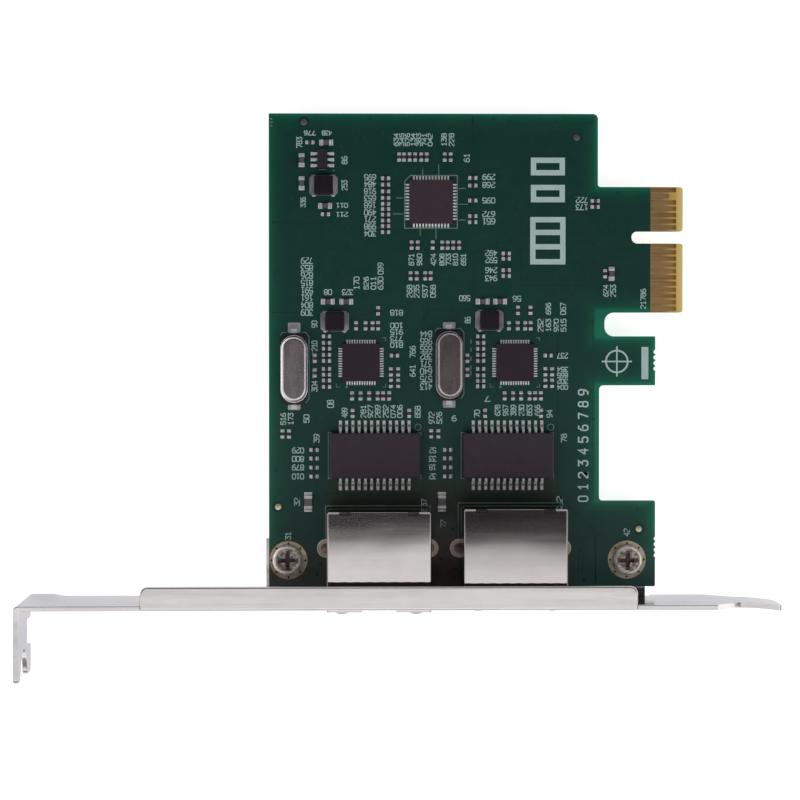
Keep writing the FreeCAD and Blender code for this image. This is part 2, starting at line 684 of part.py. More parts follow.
# -------------------------------------------------------------------- jacks ----
def jack(tag, cx, front):
    base = "board_top+jack_stand"
    half, sheet_in = "jack_wide/2", "jack_wide/2-shield_sheet"
    # folded shield: roof and sides, rear wall, solder tabs
    b = body(tag + "_shield")
    s = outline(b, tag + "_fold", "XZ_Plane", [
        ("-" + half, 0), ("-" + half, "jack_tall"), (half, "jack_tall"), (half, 0),
        (sheet_in, 0), (sheet_in, "jack_tall-shield_sheet"),
        ("-(" + sheet_in + ")", "jack_tall-shield_sheet"), ("-(" + sheet_in + ")", 0)])
    p = pad(b, s, "jack_long", back=True)
    p = round_at(b, p, [("-" + half, "jack_tall"), (half, "jack_tall")], 0.30, "y")
    s = outline(b, tag + "_rear", "XZ_Plane", rect(
        "-(" + sheet_in + ")", 0.6, sheet_in, "jack_tall-shield_sheet"), "-(jack_long-shield_sheet)")
    p = pad(b, s, "shield_sheet", back=True)
    # notches in the roof's rear edge
    s = new_sketch(b, tag + "_rear_notches", "XY_Plane", "jack_tall")
    add_outline(s, rect(-6.25, "jack_long-0.55", -4.45, "jack_long+0.5"))
    add_outline(s, rect(4.45, "jack_long-0.55", 6.25, "jack_long+0.5"))
    p = pocket(b, s, 0.7)
    # front notch over the latch
    s = outline(b, tag + "_latch_gap", "XY_Plane", rect(-2.7, -0.5, 2.7, 0.62), "jack_tall")
    p = pocket(b, s, "shield_sheet+0.1")
    # tabs soldered in the board
    s = new_sketch(b, tag + "_tabs", "XY_Plane", 0)
    for sgn in ("-", ""):
        xs = [sgn + "(" + sheet_in + ")", sgn + "(" + half + ")"]
        if sgn:
            xs.reverse()
        nom = "8.82"
        add_outline(s, rect(xs[0], nom + "-0.48", xs[1], nom + "+0.48"))
    p = pad(b, s, "board_thick+jack_stand+0.55", back=True)
    rear_mid = edges_where(p.Shape, lambda e: along(e, "x") and near(mid(e).y, num("jack_long"))
                           and near(mid(e).z, num("jack_tall")) and abs(mid(e).x) < 3)
    f = b.newObject("PartDesign::Fillet", tag + "_rear_fold")
    f.Base = (p, rear_mid)
    bind(f, "Radius", 0.10)
    b.Tip = f
    doc.recompute()
    corners = edges_where(f.Shape, lambda e: along(e, "x") and near(mid(e).y, num("jack_long"))
                          and near(mid(e).z, num("jack_tall")) and abs(mid(e).x) > 5)
    g = b.newObject("PartDesign::Chamfer", tag + "_rear_corners")
    g.Base = (f, corners)
    bind(g, "Size", 0.28)
    b.Tip = g
    doc.recompute()
    place(b, cx, front, base)
    keep(b, tag + "_shield")

    # moulded housing
    b = body(tag + "_housing")
    s = outline(b, tag + "_block", "XZ_Plane", rect(
        "-(" + sheet_in + ")", 0, sheet_in, "jack_tall-shield_sheet"))
    p = pad(b, s, "jack_long-shield_sheet-0.02", back=True)
    s = outline(b, tag + "_cavity", "XZ_Plane", [
        (-5.9, 1.9), (5.9, 1.9), (5.9, 9.7), (3.15, 9.7), (3.15, 11.7), (-3.15, 11.7),
        (-3.15, 9.7), (-5.9, 9.7)])
    pocket(b, s, 12.6, back=False)
    s = outline(b, tag + "_latch_mouth", "XZ_Plane", rect(-2.7, 11.6, 2.7, "jack_tall"))
    pocket(b, s, 0.62, back=False)
    s = new_sketch(b, tag + "_light_pockets", "XZ_Plane", 0)
    add_outline(s, rect(-7.2, 10.1, -4.4, 12.5))
    add_outline(s, rect(4.4, 10.1, 7.2, 12.5))
    pocket(b, s, 3.0, back=False)
    s = outline(b, tag + "_tail_room", "XY_Plane", rect(-5.3, 10.9, 5.3, 14.8), 0)
    pocket(b, s, 3.1, back=True)
    s = new_sketch(b, tag + "_pegs", "XY_Plane", 0)
    for sgn in ("-", ""):
        add_circle(s, sgn + "peg_half", "peg_back", "peg_radius")
    pad(b, s, "board_thick+jack_stand+0.3", back=True)
    place(b, cx, front, base)
    keep(b, tag + "_housing")

    # eight contact wires: tail through the board, run along the floor,
    # folded back upwards at the mouth
    wires = []
    r = 0.2
    for i in range(8):
        xt = (i - 3.5) * num("tail_pitch")
        xc = (i - 3.5) * 1.02
        yt = num("tail_row_one" if i % 2 == 0 else "tail_row_two")
        zf = 2.15
        pts = [V(xt, yt, -num("board_thick") - num("jack_stand") - 0.95), V(xt, yt, zf),
               V(xc, 10.3, zf), V(xc, 3.4, zf), V(xc, 3.0, zf + 0.42), V(xc, 9.6, 4.35)]
        solid = None
        for a, c in zip(pts, pts[1:]):
            d = c - a
            seg = Part.makeCylinder(r, d.Length, a, d)
            solid = seg if solid is None else solid.fuse(seg)
        for q in pts[1:-1]:
            solid = solid.fuse(Part.makeSphere(r, q))
        wires.append(solid)
    w = doc.addObject("Part::Feature", tag + "_contacts")
    w.Shape = Part.makeCompound(wires)
    w.Placement = FreeCAD.Placement(V(num(cx), num(front), num(base)), FreeCAD.Rotation())
    place(w, cx, front, base)
    keep(w, tag + "_contacts")

    # light windows, each a block with a domed face
    for side, x0 in (("left", -7.18), ("right", 4.42)):
        name = "%s_light_%s" % (tag, side)
        blk = doc.addObject("Part::Box", name + "_block")
        blk.Length, blk.Width, blk.Height = 2.76, 2.95, 2.36
        blk.Placement.Base = V(x0, 0.0, 10.12)
        ball = doc.addObject("Part::Sphere", name + "_ball")
        ball.Radius = 1.9
        ball.Placement.Base = V(x0 + 1.38, 1.42, 11.30)
        lim = doc.addObject("Part::Box", name + "_limit")
        lim.Length, lim.Width, lim.Height = 2.76, 1.0, 2.36
        lim.Placement.Base = V(x0, -0.9, 10.12)
        cap = doc.addObject("Part::Common", name + "_cap")
        cap.Base, cap.Tool = ball, lim
        u = doc.addObject("Part::Fuse", name + "_solid")
        u.Base, u.Tool = blk, cap
        doc.recompute()
        place(u, cx, front, base)
        keep(u, name)


jack("port_left", "jack_left_x", "jack_left_front")
jack("port_right", "jack_right_x", "jack_right_front")


# -------------------------------------------------- leadless flat packages ----
def flat_pack(name, label, x, y, side, pitch):
    blk = doc.addObject("Part::Box", name + "_block")
    for prop in ("Length", "Width"):
        bind(blk, prop, side)
    bind(blk, "Height", "flat_pack_tall")
    place(blk, "-" + side + "/2", "-" + side + "/2", 0)
    dot = doc.addObject("Part::Cylinder", name + "_dot")
    dot.Radius, dot.Height = 0.26, 1
    place(dot, "-" + side + "/2+0.75", side + "/2-0.75", "flat_pack_tall-0.05")
    c = doc.addObject("Part::Cut", name + "_cut")
    c.Base, c.Tool = blk, dot
    doc.recompute()
    top = [i + 1 for i, e in enumerate(c.Shape.Edges) if isinstance(e.Curve, Part.Line)
           and near(mid(e).z, num("flat_pack_tall"))]
    f = doc.addObject("Part::Fillet", name + "_body")
    f.Base = c
    f.Edges = [(i, 0.07, 0.07) for i in top]
    doc.recompute()
    place(f, x, y, "board_top")
    keep(f, label + "_body")

    b = body(name + "_leads")
    half = side + "/2"
    wide = "0.56*" + pitch
    s = outline(b, name + "_land", "XY_Plane", rect(
        "-5.5*" + pitch + "-" + wide + "/2", half, "-5.5*" + pitch + "+" + wide + "/2",
        half + "+flat_pack_land"), 0)
    a = pad(b, s, 0.09)
    mt = b.newObject("PartDesign::MultiTransform", name + "_all_leads")
    mt.Originals = [a]
    lin = b.newObject("PartDesign::LinearPattern", name + "_lead_row")
    lin.Direction = (plane(b, "X_Axis"), [""])
    lin.Mode = "Spacing"
    bind(lin, "Offset", pitch)
    lin.Occurrences = 12
    pol = b.newObject("PartDesign::PolarPattern", name + "_lead_sides")
    pol.Axis = (plane(b, "Z_Axis"), [""])
    pol.Angle = 360
    pol.Occurrences = 4
    mt.Transformations = [lin, pol]
    b.Tip = mt
    doc.recompute()
    place(b, x, y, "board_top")
    keep(b, label + "_leads")


flat_pack("bridge", "bridge_chip", "bridge_x", "bridge_y", "bridge_side", "bridge_pitch")
flat_pack("controller_a", "controller_left", "controller_left_x", "controller_y",
          "controller_side", "controller_pitch")
flat_pack("controller_b", "controller_right", "controller_right_x", "controller_y",
          "controller_side", "controller_pitch")


# ---------------------------------------------------------- magnetics modules ----
def magnetics(name, label, x):
    b = body(name + "_body")
    hx, hy = "magnetics_long/2", "magnetics_wide/2"
    s = outline(b, name + "_plan", "XY_Plane", rect("-" + hx, "-" + hy, hx, hy), 0)
    p = pad(b, s, "magnetics_tall")
    top = edges_where(p.Shape, lambda e: near(mid(e).z, num("magnetics_tall")))
    f = b.newObject("PartDesign::Chamfer", name + "_bevel")
    f.Base = (p, top)
    bind(f, "Size", 0.16)
    b.Tip = f
    doc.recompute()
    s = new_sketch(b, name + "_mark", "XY_Plane", "magnetics_tall")
    add_circle(s, "5.05", "2.15", "0.22")
    pocket(b, s, 0.08)
    place(b, x, "magnetics_y", "board_top+magnetics_stand")
    keep(b, label + "_body")

    b = body(name + "_leads")
    tip = "magnetics_span/2"
    s = outline(b, name + "_lead_side", "YZ_Plane", [
        (hy, 0.95), (hy, 1.13), (hy + "+0.42", 1.13), (hy + "+0.62", 0.95),
        (hy + "+0.80", 0.24), (hy + "+0.92", 0.18), (tip, 0.18), (tip, 0.0),
        (hy + "+0.82", 0.0), (hy + "+0.66", 0.12), (hy + "+0.44", 0.95)], "-5.5-0.2")
    a = pad(b, s, 0.4)
    mt = b.newObject("PartDesign::MultiTransform", name + "_all_leads")
    mt.Originals = [a]
    lin = b.newObject("PartDesign::LinearPattern", name + "_lead_row")
    lin.Direction = (plane(b, "X_Axis"), [""])
    lin.Mode = "Spacing"
    lin.Offset = 1.0
    lin.Occurrences = 12
    mir = b.newObject("PartDesign::Mirrored", name + "_lead_sides")
    mir.MirrorPlane = (plane(b, "XZ_Plane"), [""])
    mt.Transformations = [lin, mir]
    b.Tip = mt
    doc.recompute()
    place(b, x, "magnetics_y", "board_top")
    keep(b, label + "_leads")


magnetics("magnetics_a", "magnetics_left", "magnetics_left_x")
magnetics("magnetics_b", "magnetics_right", "magnetics_right_x")


# ------------------------------------------------------------------ crystals ----
def stadium(s, long_side, wide_side):
    """rounded-end outline, its long side along Y"""
    L, W = num(long_side), num(wide_side)
    r, h = W / 2, (L - W) / 2
    a = s.addGeometry(Part.LineSegment(V(r, -h, 0), V(r, h, 0)), False)
    b = s.addGeometry(Part.ArcOfCircle(Part.Circle(V(0, h, 0), V(0, 0, 1), r), 0, math.pi), False)
    c = s.addGeometry(Part.LineSegment(V(-r, h, 0), V(-r, -h, 0)), False)
    d = s.addGeometry(Part.ArcOfCircle(Part.Circle(V(0, -h, 0), V(0, 0, 1), r), math.pi, 2 * math.pi), False)
    C = Sketcher.Constraint
    s.addConstraint(C("Tangent", a, 2, b, 1))
    s.addConstraint(C("Tangent", b, 2, c, 1))
    s.addConstraint(C("Tangent", c, 2, d, 1))
    s.addConstraint(C("Tangent", d, 2, a, 1))
    s.addConstraint(C("PointOnObject", b, 3, -2))
    s.addConstraint(C("Symmetric", b, 3, d, 3, -1, 1))
    k = s.addConstraint(C("Radius", b, r))
    s.setExpression("Constraints[%d]" % k, formula(wide_side + "/2"))
    k = s.addConstraint(C("DistanceY", d, 3, b, 3, 2 * h))
    s.setExpression("Constraints[%d]" % k, formula(long_side + "-" + wide_side))


def crystal(name, label, x, y):
    b = body(name + "_can")
    s = new_sketch(b, name + "_lip", "XY_Plane", 0)
    stadium(s, "crystal_lip_long", "crystal_lip_wide")
    pad(b, s, 0.38)
    s = new_sketch(b, name + "_wall", "XY_Plane", 0)
    stadium(s, "crystal_can_long", "crystal_can_wide")
    p = pad(b, s, "crystal_tall")
    top = edges_where(p.Shape, lambda e: near(mid(e).z, num("crystal_tall")))
    f = b.newObject("PartDesign::Fillet", name + "_crown")
    f.Base = (p, top)
    bind(f, "Radius", 0.5)
    b.Tip = f
    doc.recompute()
    rim = edges_where(f.Shape, lambda e: near(mid(e).z, 0.38)
                      and abs(math.hypot(mid(e).x, mid(e).y)) > 0
                      and (near(abs(mid(e).x), num("crystal_lip_wide/2"), 0.01)
                           or near(abs(mid(e).y), num("crystal_lip_long/2"), 0.01)))
    g = b.newObject("PartDesign::Fillet", name + "_lip_edge")
    g.Base = (f, rim)
    bind(g, "Radius", 0.14)
    b.Tip = g
    doc.recompute()
    place(b, x, y, "board_top+crystal_base_tall")
    keep(b, label + "_can")

    b = body(name + "_base")
    s = outline(b, name + "_plate", "XY_Plane", [
        ("-2.12", "-4.9"), ("-1.3", "-5.72"), ("1.3", "-5.72"), ("2.12", "-4.9"),
        ("2.12", "4.9"), ("1.3", "5.72"), ("-1.3", "5.72"), ("-2.12", "4.9")], 0.2)
    pad(b, s, "crystal_base_tall-0.2")
    place(b, x, y, "board_top")
    keep(b, label + "_base")

    b = body(name + "_leads")
    s = new_sketch(b, name + "_strips", "XY_Plane", 0)
    add_outline(s, rect(-0.45, 2.6, 0.45, 6.45))
    add_outline(s, rect(-0.45, -6.45, 0.45, -2.6))
    pad(b, s, 0.2)
    place(b, x, y, "board_top")
    keep(b, label + "_leads")


crystal("crystal_a", "crystal_left", "crystal_left_x", "crystal_left_y")
crystal("crystal_b", "crystal_right", "crystal_right_x", "crystal_right_y")


# ----------------------------------------------------------------- inductors ----
def inductor(name, label, x, y):
    cl, cw = "coil_core_long/2", "coil_core_wide/2"
    b = body(name + "_core")
    s = outline(b, name + "_plan", "XY_Plane", rect("-" + cl, "-" + cw, cl, cw), 0)
    p = pad(b, s, "coil_core_tall")
    p = round_at(b, p, [("-" + cl, "-" + cw), (cl, "-" + cw), ("-" + cl, cw), (cl, cw)], 0.45)
    top = edges_where(p.Shape, lambda e: near(mid(e).z, num("coil_core_tall")))
    f = b.newObject("PartDesign::Fillet", name + "_crown")
    f.Base = (p, top)
    bind(f, "Radius", 0.20)
    b.Tip = f
    doc.recompute()
    place(b, x, y, "board_top+0.05")
    keep(b, label + "_core")

    # C-shaped end terminals round the core
    b = body(name + "_ends")
    ox, oy = "coil_over_ends/2", "coil_over_sides/2"
    s = new_sketch(b, name + "_frame", "XY_Plane", 0)
    add_outline(s, rect("-" + ox, "-" + oy, ox, oy))
    p = pad(b, s, "coil_end_tall")
    p = round_at(b, p, [("-" + ox, "-" + oy), (ox, "-" + oy), ("-" + ox, oy), (ox, oy)], 0.85)
    s = outline(b, name + "_inside", "XY_Plane", rect(
        "-" + cl + "-0.02", "-" + cw + "-0.02", cl + "+0.02", cw + "+0.02"), "coil_end_tall")
    pocket(b, s, "coil_end_tall")
    s = outline(b, name + "_gap", "XY_Plane", rect("-1.1", "-" + oy + "-1", "1.1", oy + "+1"),
                "coil_end_tall")
    pocket(b, s, "coil_end_tall")
    place(b, x, y, "board_top")
    keep(b, label + "_terminals")


inductor("coil_a", "inductor_supply", "coil_one_x", "coil_one_y")
inductor("coil_b", "inductor_left", "coil_two_x", "coil_two_y")
inductor("coil_c", "inductor_right", "coil_three_x", "coil_three_y")

# ----------------------------------------------------------------- regulator ----
b = body("regulator_case")
s = outline(b, "regulator_plan", "XY_Plane", rect(
    "-regulator_wide/2", "-regulator_long/2", "regulator_wide/2", "regulator_long/2"), 0.1)
p = pad(b, s, "regulator_tall-0.1")
top = edges_where(p.Shape, lambda e: near(mid(e).z, num("regulator_tall")))
f = b.newObject("PartDesign::Chamfer", "regulator_bevel")
f.Base = (p, top)
bind(f, "Size", 0.12)
b.Tip = f
doc.recompute()
place(b, "regulator_x", "regulator_y", "board_top")
keep(b, "regulator_body")
b = body("regulator_legs")
s = outline(b, "regulator_leg_side", "XZ_Plane", [
    ("regulator_wide/2", 0.45), ("regulator_wide/2", 0.57), ("regulator_wide/2+0.2", 0.57),
    ("regulator_wide/2+0.42", 0.13), ("regulator_span/2", 0.13), ("regulator_span/2", 0),
    ("regulator_wide/2+0.36", 0), ("regulator_wide/2+0.14", 0.45)], "0.95-0.2")
a = pad(b, s, 0.4)
mt = b.newObject("PartDesign::MultiTransform", "regulator_all_legs")
mt.Originals = [a]
lin = b.newObject("PartDesign::LinearPattern", "regulator_leg_row")
lin.Direction = (plane(b, "Y_Axis"), [""])
lin.Mode = "Spacing"
lin.Offset = 0.95
lin.Occurrences = 3
mir = b.newObject("PartDesign::Mirrored", "regulator_leg_sides")
mir.MirrorPlane = (plane(b, "YZ_Plane"), [""])
mt.Transformations = [lin, mir]
b.Tip = mt
doc.recompute()
place(b, "regulator_x", "regulator_y", "board_top")
keep(b, "regulator_leads")

# ------------------------------------------------------------ chip components ----
# (x, y) of each component's centre; "across" lies along X, "along" lies along Y
caps_across = [
    (-14.22, 40.18), (-11.74, 28.71), (-2.12, 34.46), (-2.12, 33.46), (-2.12, 32.37),
    (-2.12, 31.33), (-2.12, 30.37), (-2.12, 29.56), (-2.12, 28.68), (-2.12, 27.72),
    (-2.12, 26.84), (-2.12, 25.87), (11.84, 34.54), (11.84, 33.33), (11.84, 30.93),
    (31.48, 30.89), (31.48, 29.93), (17.21, 22.46), (17.21, 21.62), (17.21, 19.78),
    (17.21, 18.87), (-11.58, 9.19), (-11.58, 8.15), (-11.58, 6.23), (-11.58, 5.27),
    (-11.58, 3.05), (-11.58, 2.14), (13.12, 9.19), (13.12, 8.15), (13.12, 6.23),
    (13.12, 5.27), (13.12, 2.94), (13.12, 2.06), (-0.7, 6.1), (23.95, 6.12)]
res_across = [
    (11.84, 28.44), (11.84, 27.48), (-11.58, 7.22), (-11.58, 3.98), (-11.58, 1.1),
    (13.12, 7.19), (13.12, 3.98), (13.12, 1.18), (-13.58, -9.01), (-13.58, -10.37),
    (-13.58, -11.82), (-13.58, -13.26), (7.83, -9.01), (7.83, -10.37), (7.83, -11.82),
    (7.83, -13.26)]
caps_along = [
    (0.05, 37.86), (0.82, 37.86), (1.73, 37.86), (2.62, 37.86), (3.58, 37.86),
    (4.46, 37.86), (2.05, 23.79), (3.02, 23.79), (6.95, 23.79), (7.83, 23.79),
    (8.71, 23.79), (9.67, 23.79), (1.89, 18.87), (2.86, 18.87), (4.22, 18.87),
    (5.1, 18.87), (-6.85, 10.88), (-5.32, 10.88), (-4.2, 10.88), (17.66, 10.88),
    (19.06, 10.88), (20.26, 10.88), (-13.47, 5.67), (-13.47, 3.34), (10.99, 5.67),
    (10.99, 3.42), (-7.49, -0.35), (-6.13, -0.35), (-4.76, -0.35), (-3.4, -0.35),
    (16.97, -0.35), (18.33, -0.35), (19.62, -0.35), (20.98, -0.35), (-7.41, -3.16),
    (1.65, -3.16), (13.84, -3.16), (22.82, -3.16)]
res_along = [
    (7.35, 37.86), (8.31, 37.86), (5.42, 23.79), (-3.32, 13.28), (-3.32, 10.88),
    (19.1, 13.36), (21.11, 13.36), (21.14, 10.88), (-1.27, 3.5), (-0.11, 3.5),
    (-1.27, 1.66), (-0.11, 1.66), (23.51, 3.5), (24.59, 3.5), (23.51, 1.66),
    (24.59, 1.66), (-2.52, -0.35), (-1.55, -0.35), (21.86, -0.35), (22.79, -0.35),
    (-18.64, -6.44), (-17.59, -6.44), (5.18, -6.44), (6.34, -6.44), (33.09, 19.22)]
medium_across = [(-11.61, 40.15), (-11.79, 30.04), (-11.37, 14.73), (-8.42, 14.73),
                 (13.44, 14.76), (16.22, 14.76)]
medium_along = [(-15.54, 37.34), (-15.54, 33.65), (34.13, 19.22)]
large_along = [(-14.53, -17.35), (6.91, -17.35)]


def blocks(spots, long_side, wide_side, tall, end, what):
    """blocks of chip components as one group: ceramic middles or metal ends"""
    L, W, H, E = num(long_side), num(wide_side), num(tall), num(end)
    z = num("board_top")
    out = []
    for (x, y), turned in spots:
        if what == "middle":
            pieces = [(-(L / 2 - E), L - 2 * E, W - 0.04, H - 0.03)]
        else:
            pieces = [(-L / 2, E, W, H), (L / 2 - E, E, W, H)]
        for u0, lu, w, h in pieces:
            if turned:
                out.append(Part.makeBox(w, lu, h, V(x - w / 2, y + u0, z)))
            else:
                out.append(Part.makeBox(lu, w, h, V(x + u0, y - w / 2, z)))
    return out


def group(label, name, solids):
    o = doc.addObject("Part::Feature", name)
    o.Shape = Part.makeCompound(solids)
    keep(o, label)


caps = [(q, False) for q in caps_across] + [(q, True) for q in caps_along]
ress = [(q, False) for q in res_across] + [(q, True) for q in res_along]
meds = [(q, False) for q in medium_across] + [(q, True) for q in medium_along]
larg = [(q, True) for q in large_along]
small = ("small_long", "small_wide")
medium = ("medium_long", "medium_wide", "medium_tall", "medium_end")
large = ("large_long", "large_wide", "large_tall", "large_end")
group("small_capacitor_bodies", "caps_mid",
      blocks(caps, *small, "small_cap_tall", "small_end", "middle"))
group("small_resistor_bodies", "ress_mid",
      blocks(ress, *small, "small_res_tall", "small_end", "middle"))
group("small_chip_terminations", "small_ends",
      blocks(caps, *small, "small_cap_tall", "small_end", "ends")
      + blocks(ress, *small, "small_res_tall", "small_end", "ends"))
group("medium_capacitor_bodies", "meds_mid", blocks(meds, *medium, "middle"))
group("medium_capacitor_terminations", "meds_ends", blocks(meds, *medium, "ends"))
group("large_capacitor_bodies", "larg_mid", blocks(larg, *large, "middle"))
group("large_capacitor_terminations", "larg_ends", blocks(larg, *large, "ends"))

# -------------------------------------------------------------------- checks ----
doc.recompute()
for o in doc.Objects:
    if "Invalid" in o.State or "Error" in o.State:
        raise RuntimeError("failed: %s %s" % (o.Name, o.State))
for label, o in parts:
    sh = o.Shape
    if sh.isNull() or not sh.isValid() or not sh.Solids:
        raise RuntimeError("bad shape: %s" % label)

os.makedirs("parts", exist_ok=True)
for label, o in parts:
    o.Shape.exportStep("parts/%s.step" % label)
    bb = o.Shape.BoundBox
    print("%-32s solids %3d  volume %9.3f  x %.2f..%.2f  y %.2f..%.2f  z %.2f..%.2f" % (
        label, len(o.Shape.Solids), o.Shape.Volume, bb.XMin, bb.XMax, bb.YMin, bb.YMax,
        bb.ZMin, bb.ZMax))
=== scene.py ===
import math

import bpy
import numpy as np
from mathutils import Matrix, Vector


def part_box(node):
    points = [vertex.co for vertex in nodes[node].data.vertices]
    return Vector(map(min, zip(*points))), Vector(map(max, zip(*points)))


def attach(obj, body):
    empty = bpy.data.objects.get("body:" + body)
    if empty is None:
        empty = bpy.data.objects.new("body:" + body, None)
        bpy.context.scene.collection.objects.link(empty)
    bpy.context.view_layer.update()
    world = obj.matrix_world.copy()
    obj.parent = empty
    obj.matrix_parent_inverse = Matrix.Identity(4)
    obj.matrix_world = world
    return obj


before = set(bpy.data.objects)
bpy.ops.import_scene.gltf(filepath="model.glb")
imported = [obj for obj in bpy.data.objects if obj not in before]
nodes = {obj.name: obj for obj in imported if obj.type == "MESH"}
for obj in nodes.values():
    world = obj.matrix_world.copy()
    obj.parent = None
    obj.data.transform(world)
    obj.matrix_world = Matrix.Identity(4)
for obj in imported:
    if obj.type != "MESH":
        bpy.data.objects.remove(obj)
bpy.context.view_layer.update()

scene = bpy.context.scene
scene.view_settings.view_transform = "Standard"
scene.view_settings.look = "None"

MM = 0.001

# ------------------------------------------------------------------ heights --
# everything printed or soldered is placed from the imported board
b_lo, b_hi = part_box("circuit_board")
TOP = b_hi.z / MM
BOTTOM = b_lo.z / MM


# ---------------------------------------------------------------- materials --
class Mat:
    """A node material on one principled shader, with its pattern in object space (millimetres)."""

    def __init__(self, name, base=(0.5, 0.5, 0.5), metallic=0.0, rough=0.5, **sockets):
        self.m = bpy.data.materials.new(name)
        self.m.use_nodes = True
        nt = self.m.node_tree
        self.nt = nt
        self.s = nt.nodes["Principled BSDF"] if "Principled BSDF" in nt.nodes else None
        if self.s is None:
            nt.nodes.clear()
            out = nt.nodes.new("ShaderNodeOutputMaterial")
            self.s = nt.nodes.new("ShaderNodeBsdfPrincipled")
            nt.links.new(self.s.outputs[0], out.inputs[0])
        self.s.inputs["Base Color"].default_value = (*base, 1)
        self.s.inputs["Metallic"].default_value = metallic
        self.s.inputs["Roughness"].default_value = rough
        for k, v in sockets.items():
            self.s.inputs[k.replace("_", " ")].default_value = v
        self.tc = nt.nodes.new("ShaderNodeTexCoord")
        self.bump_last = None

    def node(self, kind, **props):
        n = self.nt.nodes.new(kind)
        for k, v in props.items():
            setattr(n, k, v)
        return n

    def link(self, a, b):
        self.nt.links.new(a, b)

    def coords(self, scale=(1, 1, 1), rot=(0, 0, 0)):
        mp = self.node("ShaderNodeMapping")
        mp.inputs["Scale"].default_value = tuple(1000.0 * k for k in scale)
        mp.inputs["Rotation"].default_value = rot
        self.link(self.tc.outputs["Object"], mp.inputs["Vector"])
        return mp.outputs["Vector"]

    def noise(self, scale, detail=3.0, rough=0.55, stretch=(1, 1, 1)):
        n = self.node("ShaderNodeTexNoise")
        n.inputs["Scale"].default_value = scale
        n.inputs["Detail"].default_value = detail
        n.inputs["Roughness"].default_value = rough
        self.link(self.coords(stretch), n.inputs["Vector"])
        return n.outputs["Fac"]

    def ramp(self, fac, stops, mode="LINEAR"):
        r = self.node("ShaderNodeValToRGB")
        r.color_ramp.interpolation = mode
        e = r.color_ramp.elements
        while len(e) < len(stops):
            e.new(0.5)
        for el, (pos, col) in zip(e, stops):
            el.position = pos
            el.color = (*col, 1) if len(col) == 3 else col
        self.link(fac, r.inputs["Fac"])
        return r.outputs["Color"]

    def math(self, op, a, b=0.0, clamp=False):
        n = self.node("ShaderNodeMath", operation=op, use_clamp=clamp)
        for i, x in enumerate((a, b)):
            if hasattr(x, "is_linked") or hasattr(x, "links"):
                self.link(x, n.inputs[i])
            else:
                n.inputs[i].default_value = x
        return n.outputs[0]

    def rng(self, fac, a, b, lo=0.0, hi=1.0):
        n = self.node("ShaderNodeMapRange")
        n.inputs["From Min"].default_value = lo
        n.inputs["From Max"].default_value = hi
        n.inputs["To Min"].default_value = a
        n.inputs["To Max"].default_value = b
        self.link(fac, n.inputs["Value"])
        return n.outputs["Result"]

    def mix(self, fac, a, b, mode="MIX"):
        n = self.node("ShaderNodeMix", data_type="RGBA", blend_type=mode)
        if hasattr(fac, "links"):
            self.link(fac, n.inputs[0])
        else:
            n.inputs[0].default_value = fac
        for i, x in ((6, a), (7, b)):
            if hasattr(x, "links"):
                self.link(x, n.inputs[i])
            else:
                n.inputs[i].default_value = (*x, 1)
        return n.outputs[2]

    def colour(self, out):
        self.link(out, self.s.inputs["Base Color"])
        return self

    def roughness(self, out):
        self.link(out, self.s.inputs["Roughness"])
        return self

    def bump(self, height, strength=0.3, distance=0.02):
        b = self.node("ShaderNodeBump")
        b.inputs["Strength"].default_value = strength
        b.inputs["Distance"].default_value = distance * MM
        self.link(height, b.inputs["Height"])
        if self.bump_last is not None:
            self.link(self.bump_last, b.inputs["Normal"])
        self.bump_last = b.outputs["Normal"]
        self.link(self.bump_last, self.s.inputs["Normal"])
        return self


def metal(name, base, rough, spread=0.08, tint=None, brush=None, grain=6.0, bump=0.04, deep=0.004):
    """Bare or plated metal: mottled tone and roughness, and either brushing or a fine grain."""
    m = Mat(name, base, 1.0, rough)
    tint = tint or tuple(c * 0.88 for c in base)
    m.colour(m.ramp(m.noise(0.35, 4.0), [(0.30, tint), (0.70, base)]))
    stretch = brush or (1, 1, 1)
    fine = m.noise(grain, 3.0, 0.6, stretch)
    m.roughness(m.rng(m.noise(0.8, 3.0, 0.6, stretch), max(0.03, rough - spread), rough + spread, 0.3, 0.7))
    m.bump(fine, bump, deep)
    return m


def plastic(name, base, rough, second=None, grain=9.0, bump=0.25, deep=0.012, **kw):
    """Moulded plastic or epoxy: slight clouding and a spark-eroded grain."""
    m = Mat(name, base, 0.0, rough, **kw)
    second = second or tuple(c * 0.80 for c in base)
    m.colour(m.ramp(m.noise(0.6, 3.0), [(0.32, second), (0.68, base)]))
    m.roughness(m.rng(m.noise(2.5, 2.0), rough - 0.06, rough + 0.08, 0.3, 0.7))
    m.bump(m.noise(grain, 2.0), bump, deep)
    return m


CAM = (-10.90, 7.98, 456.39)
AIM = (0.189, -1.018, 5.63)
LENS = 126.65
KEY_EDGE = 3.74
KEY_POWER = 2.80
REAR_POWER = 0.22
SIDE_POWER = 0.25
FLOOR_GLOW = 0.79
WORLD = 0.80
ZENITH = (0.035, 0.030, 0.034)
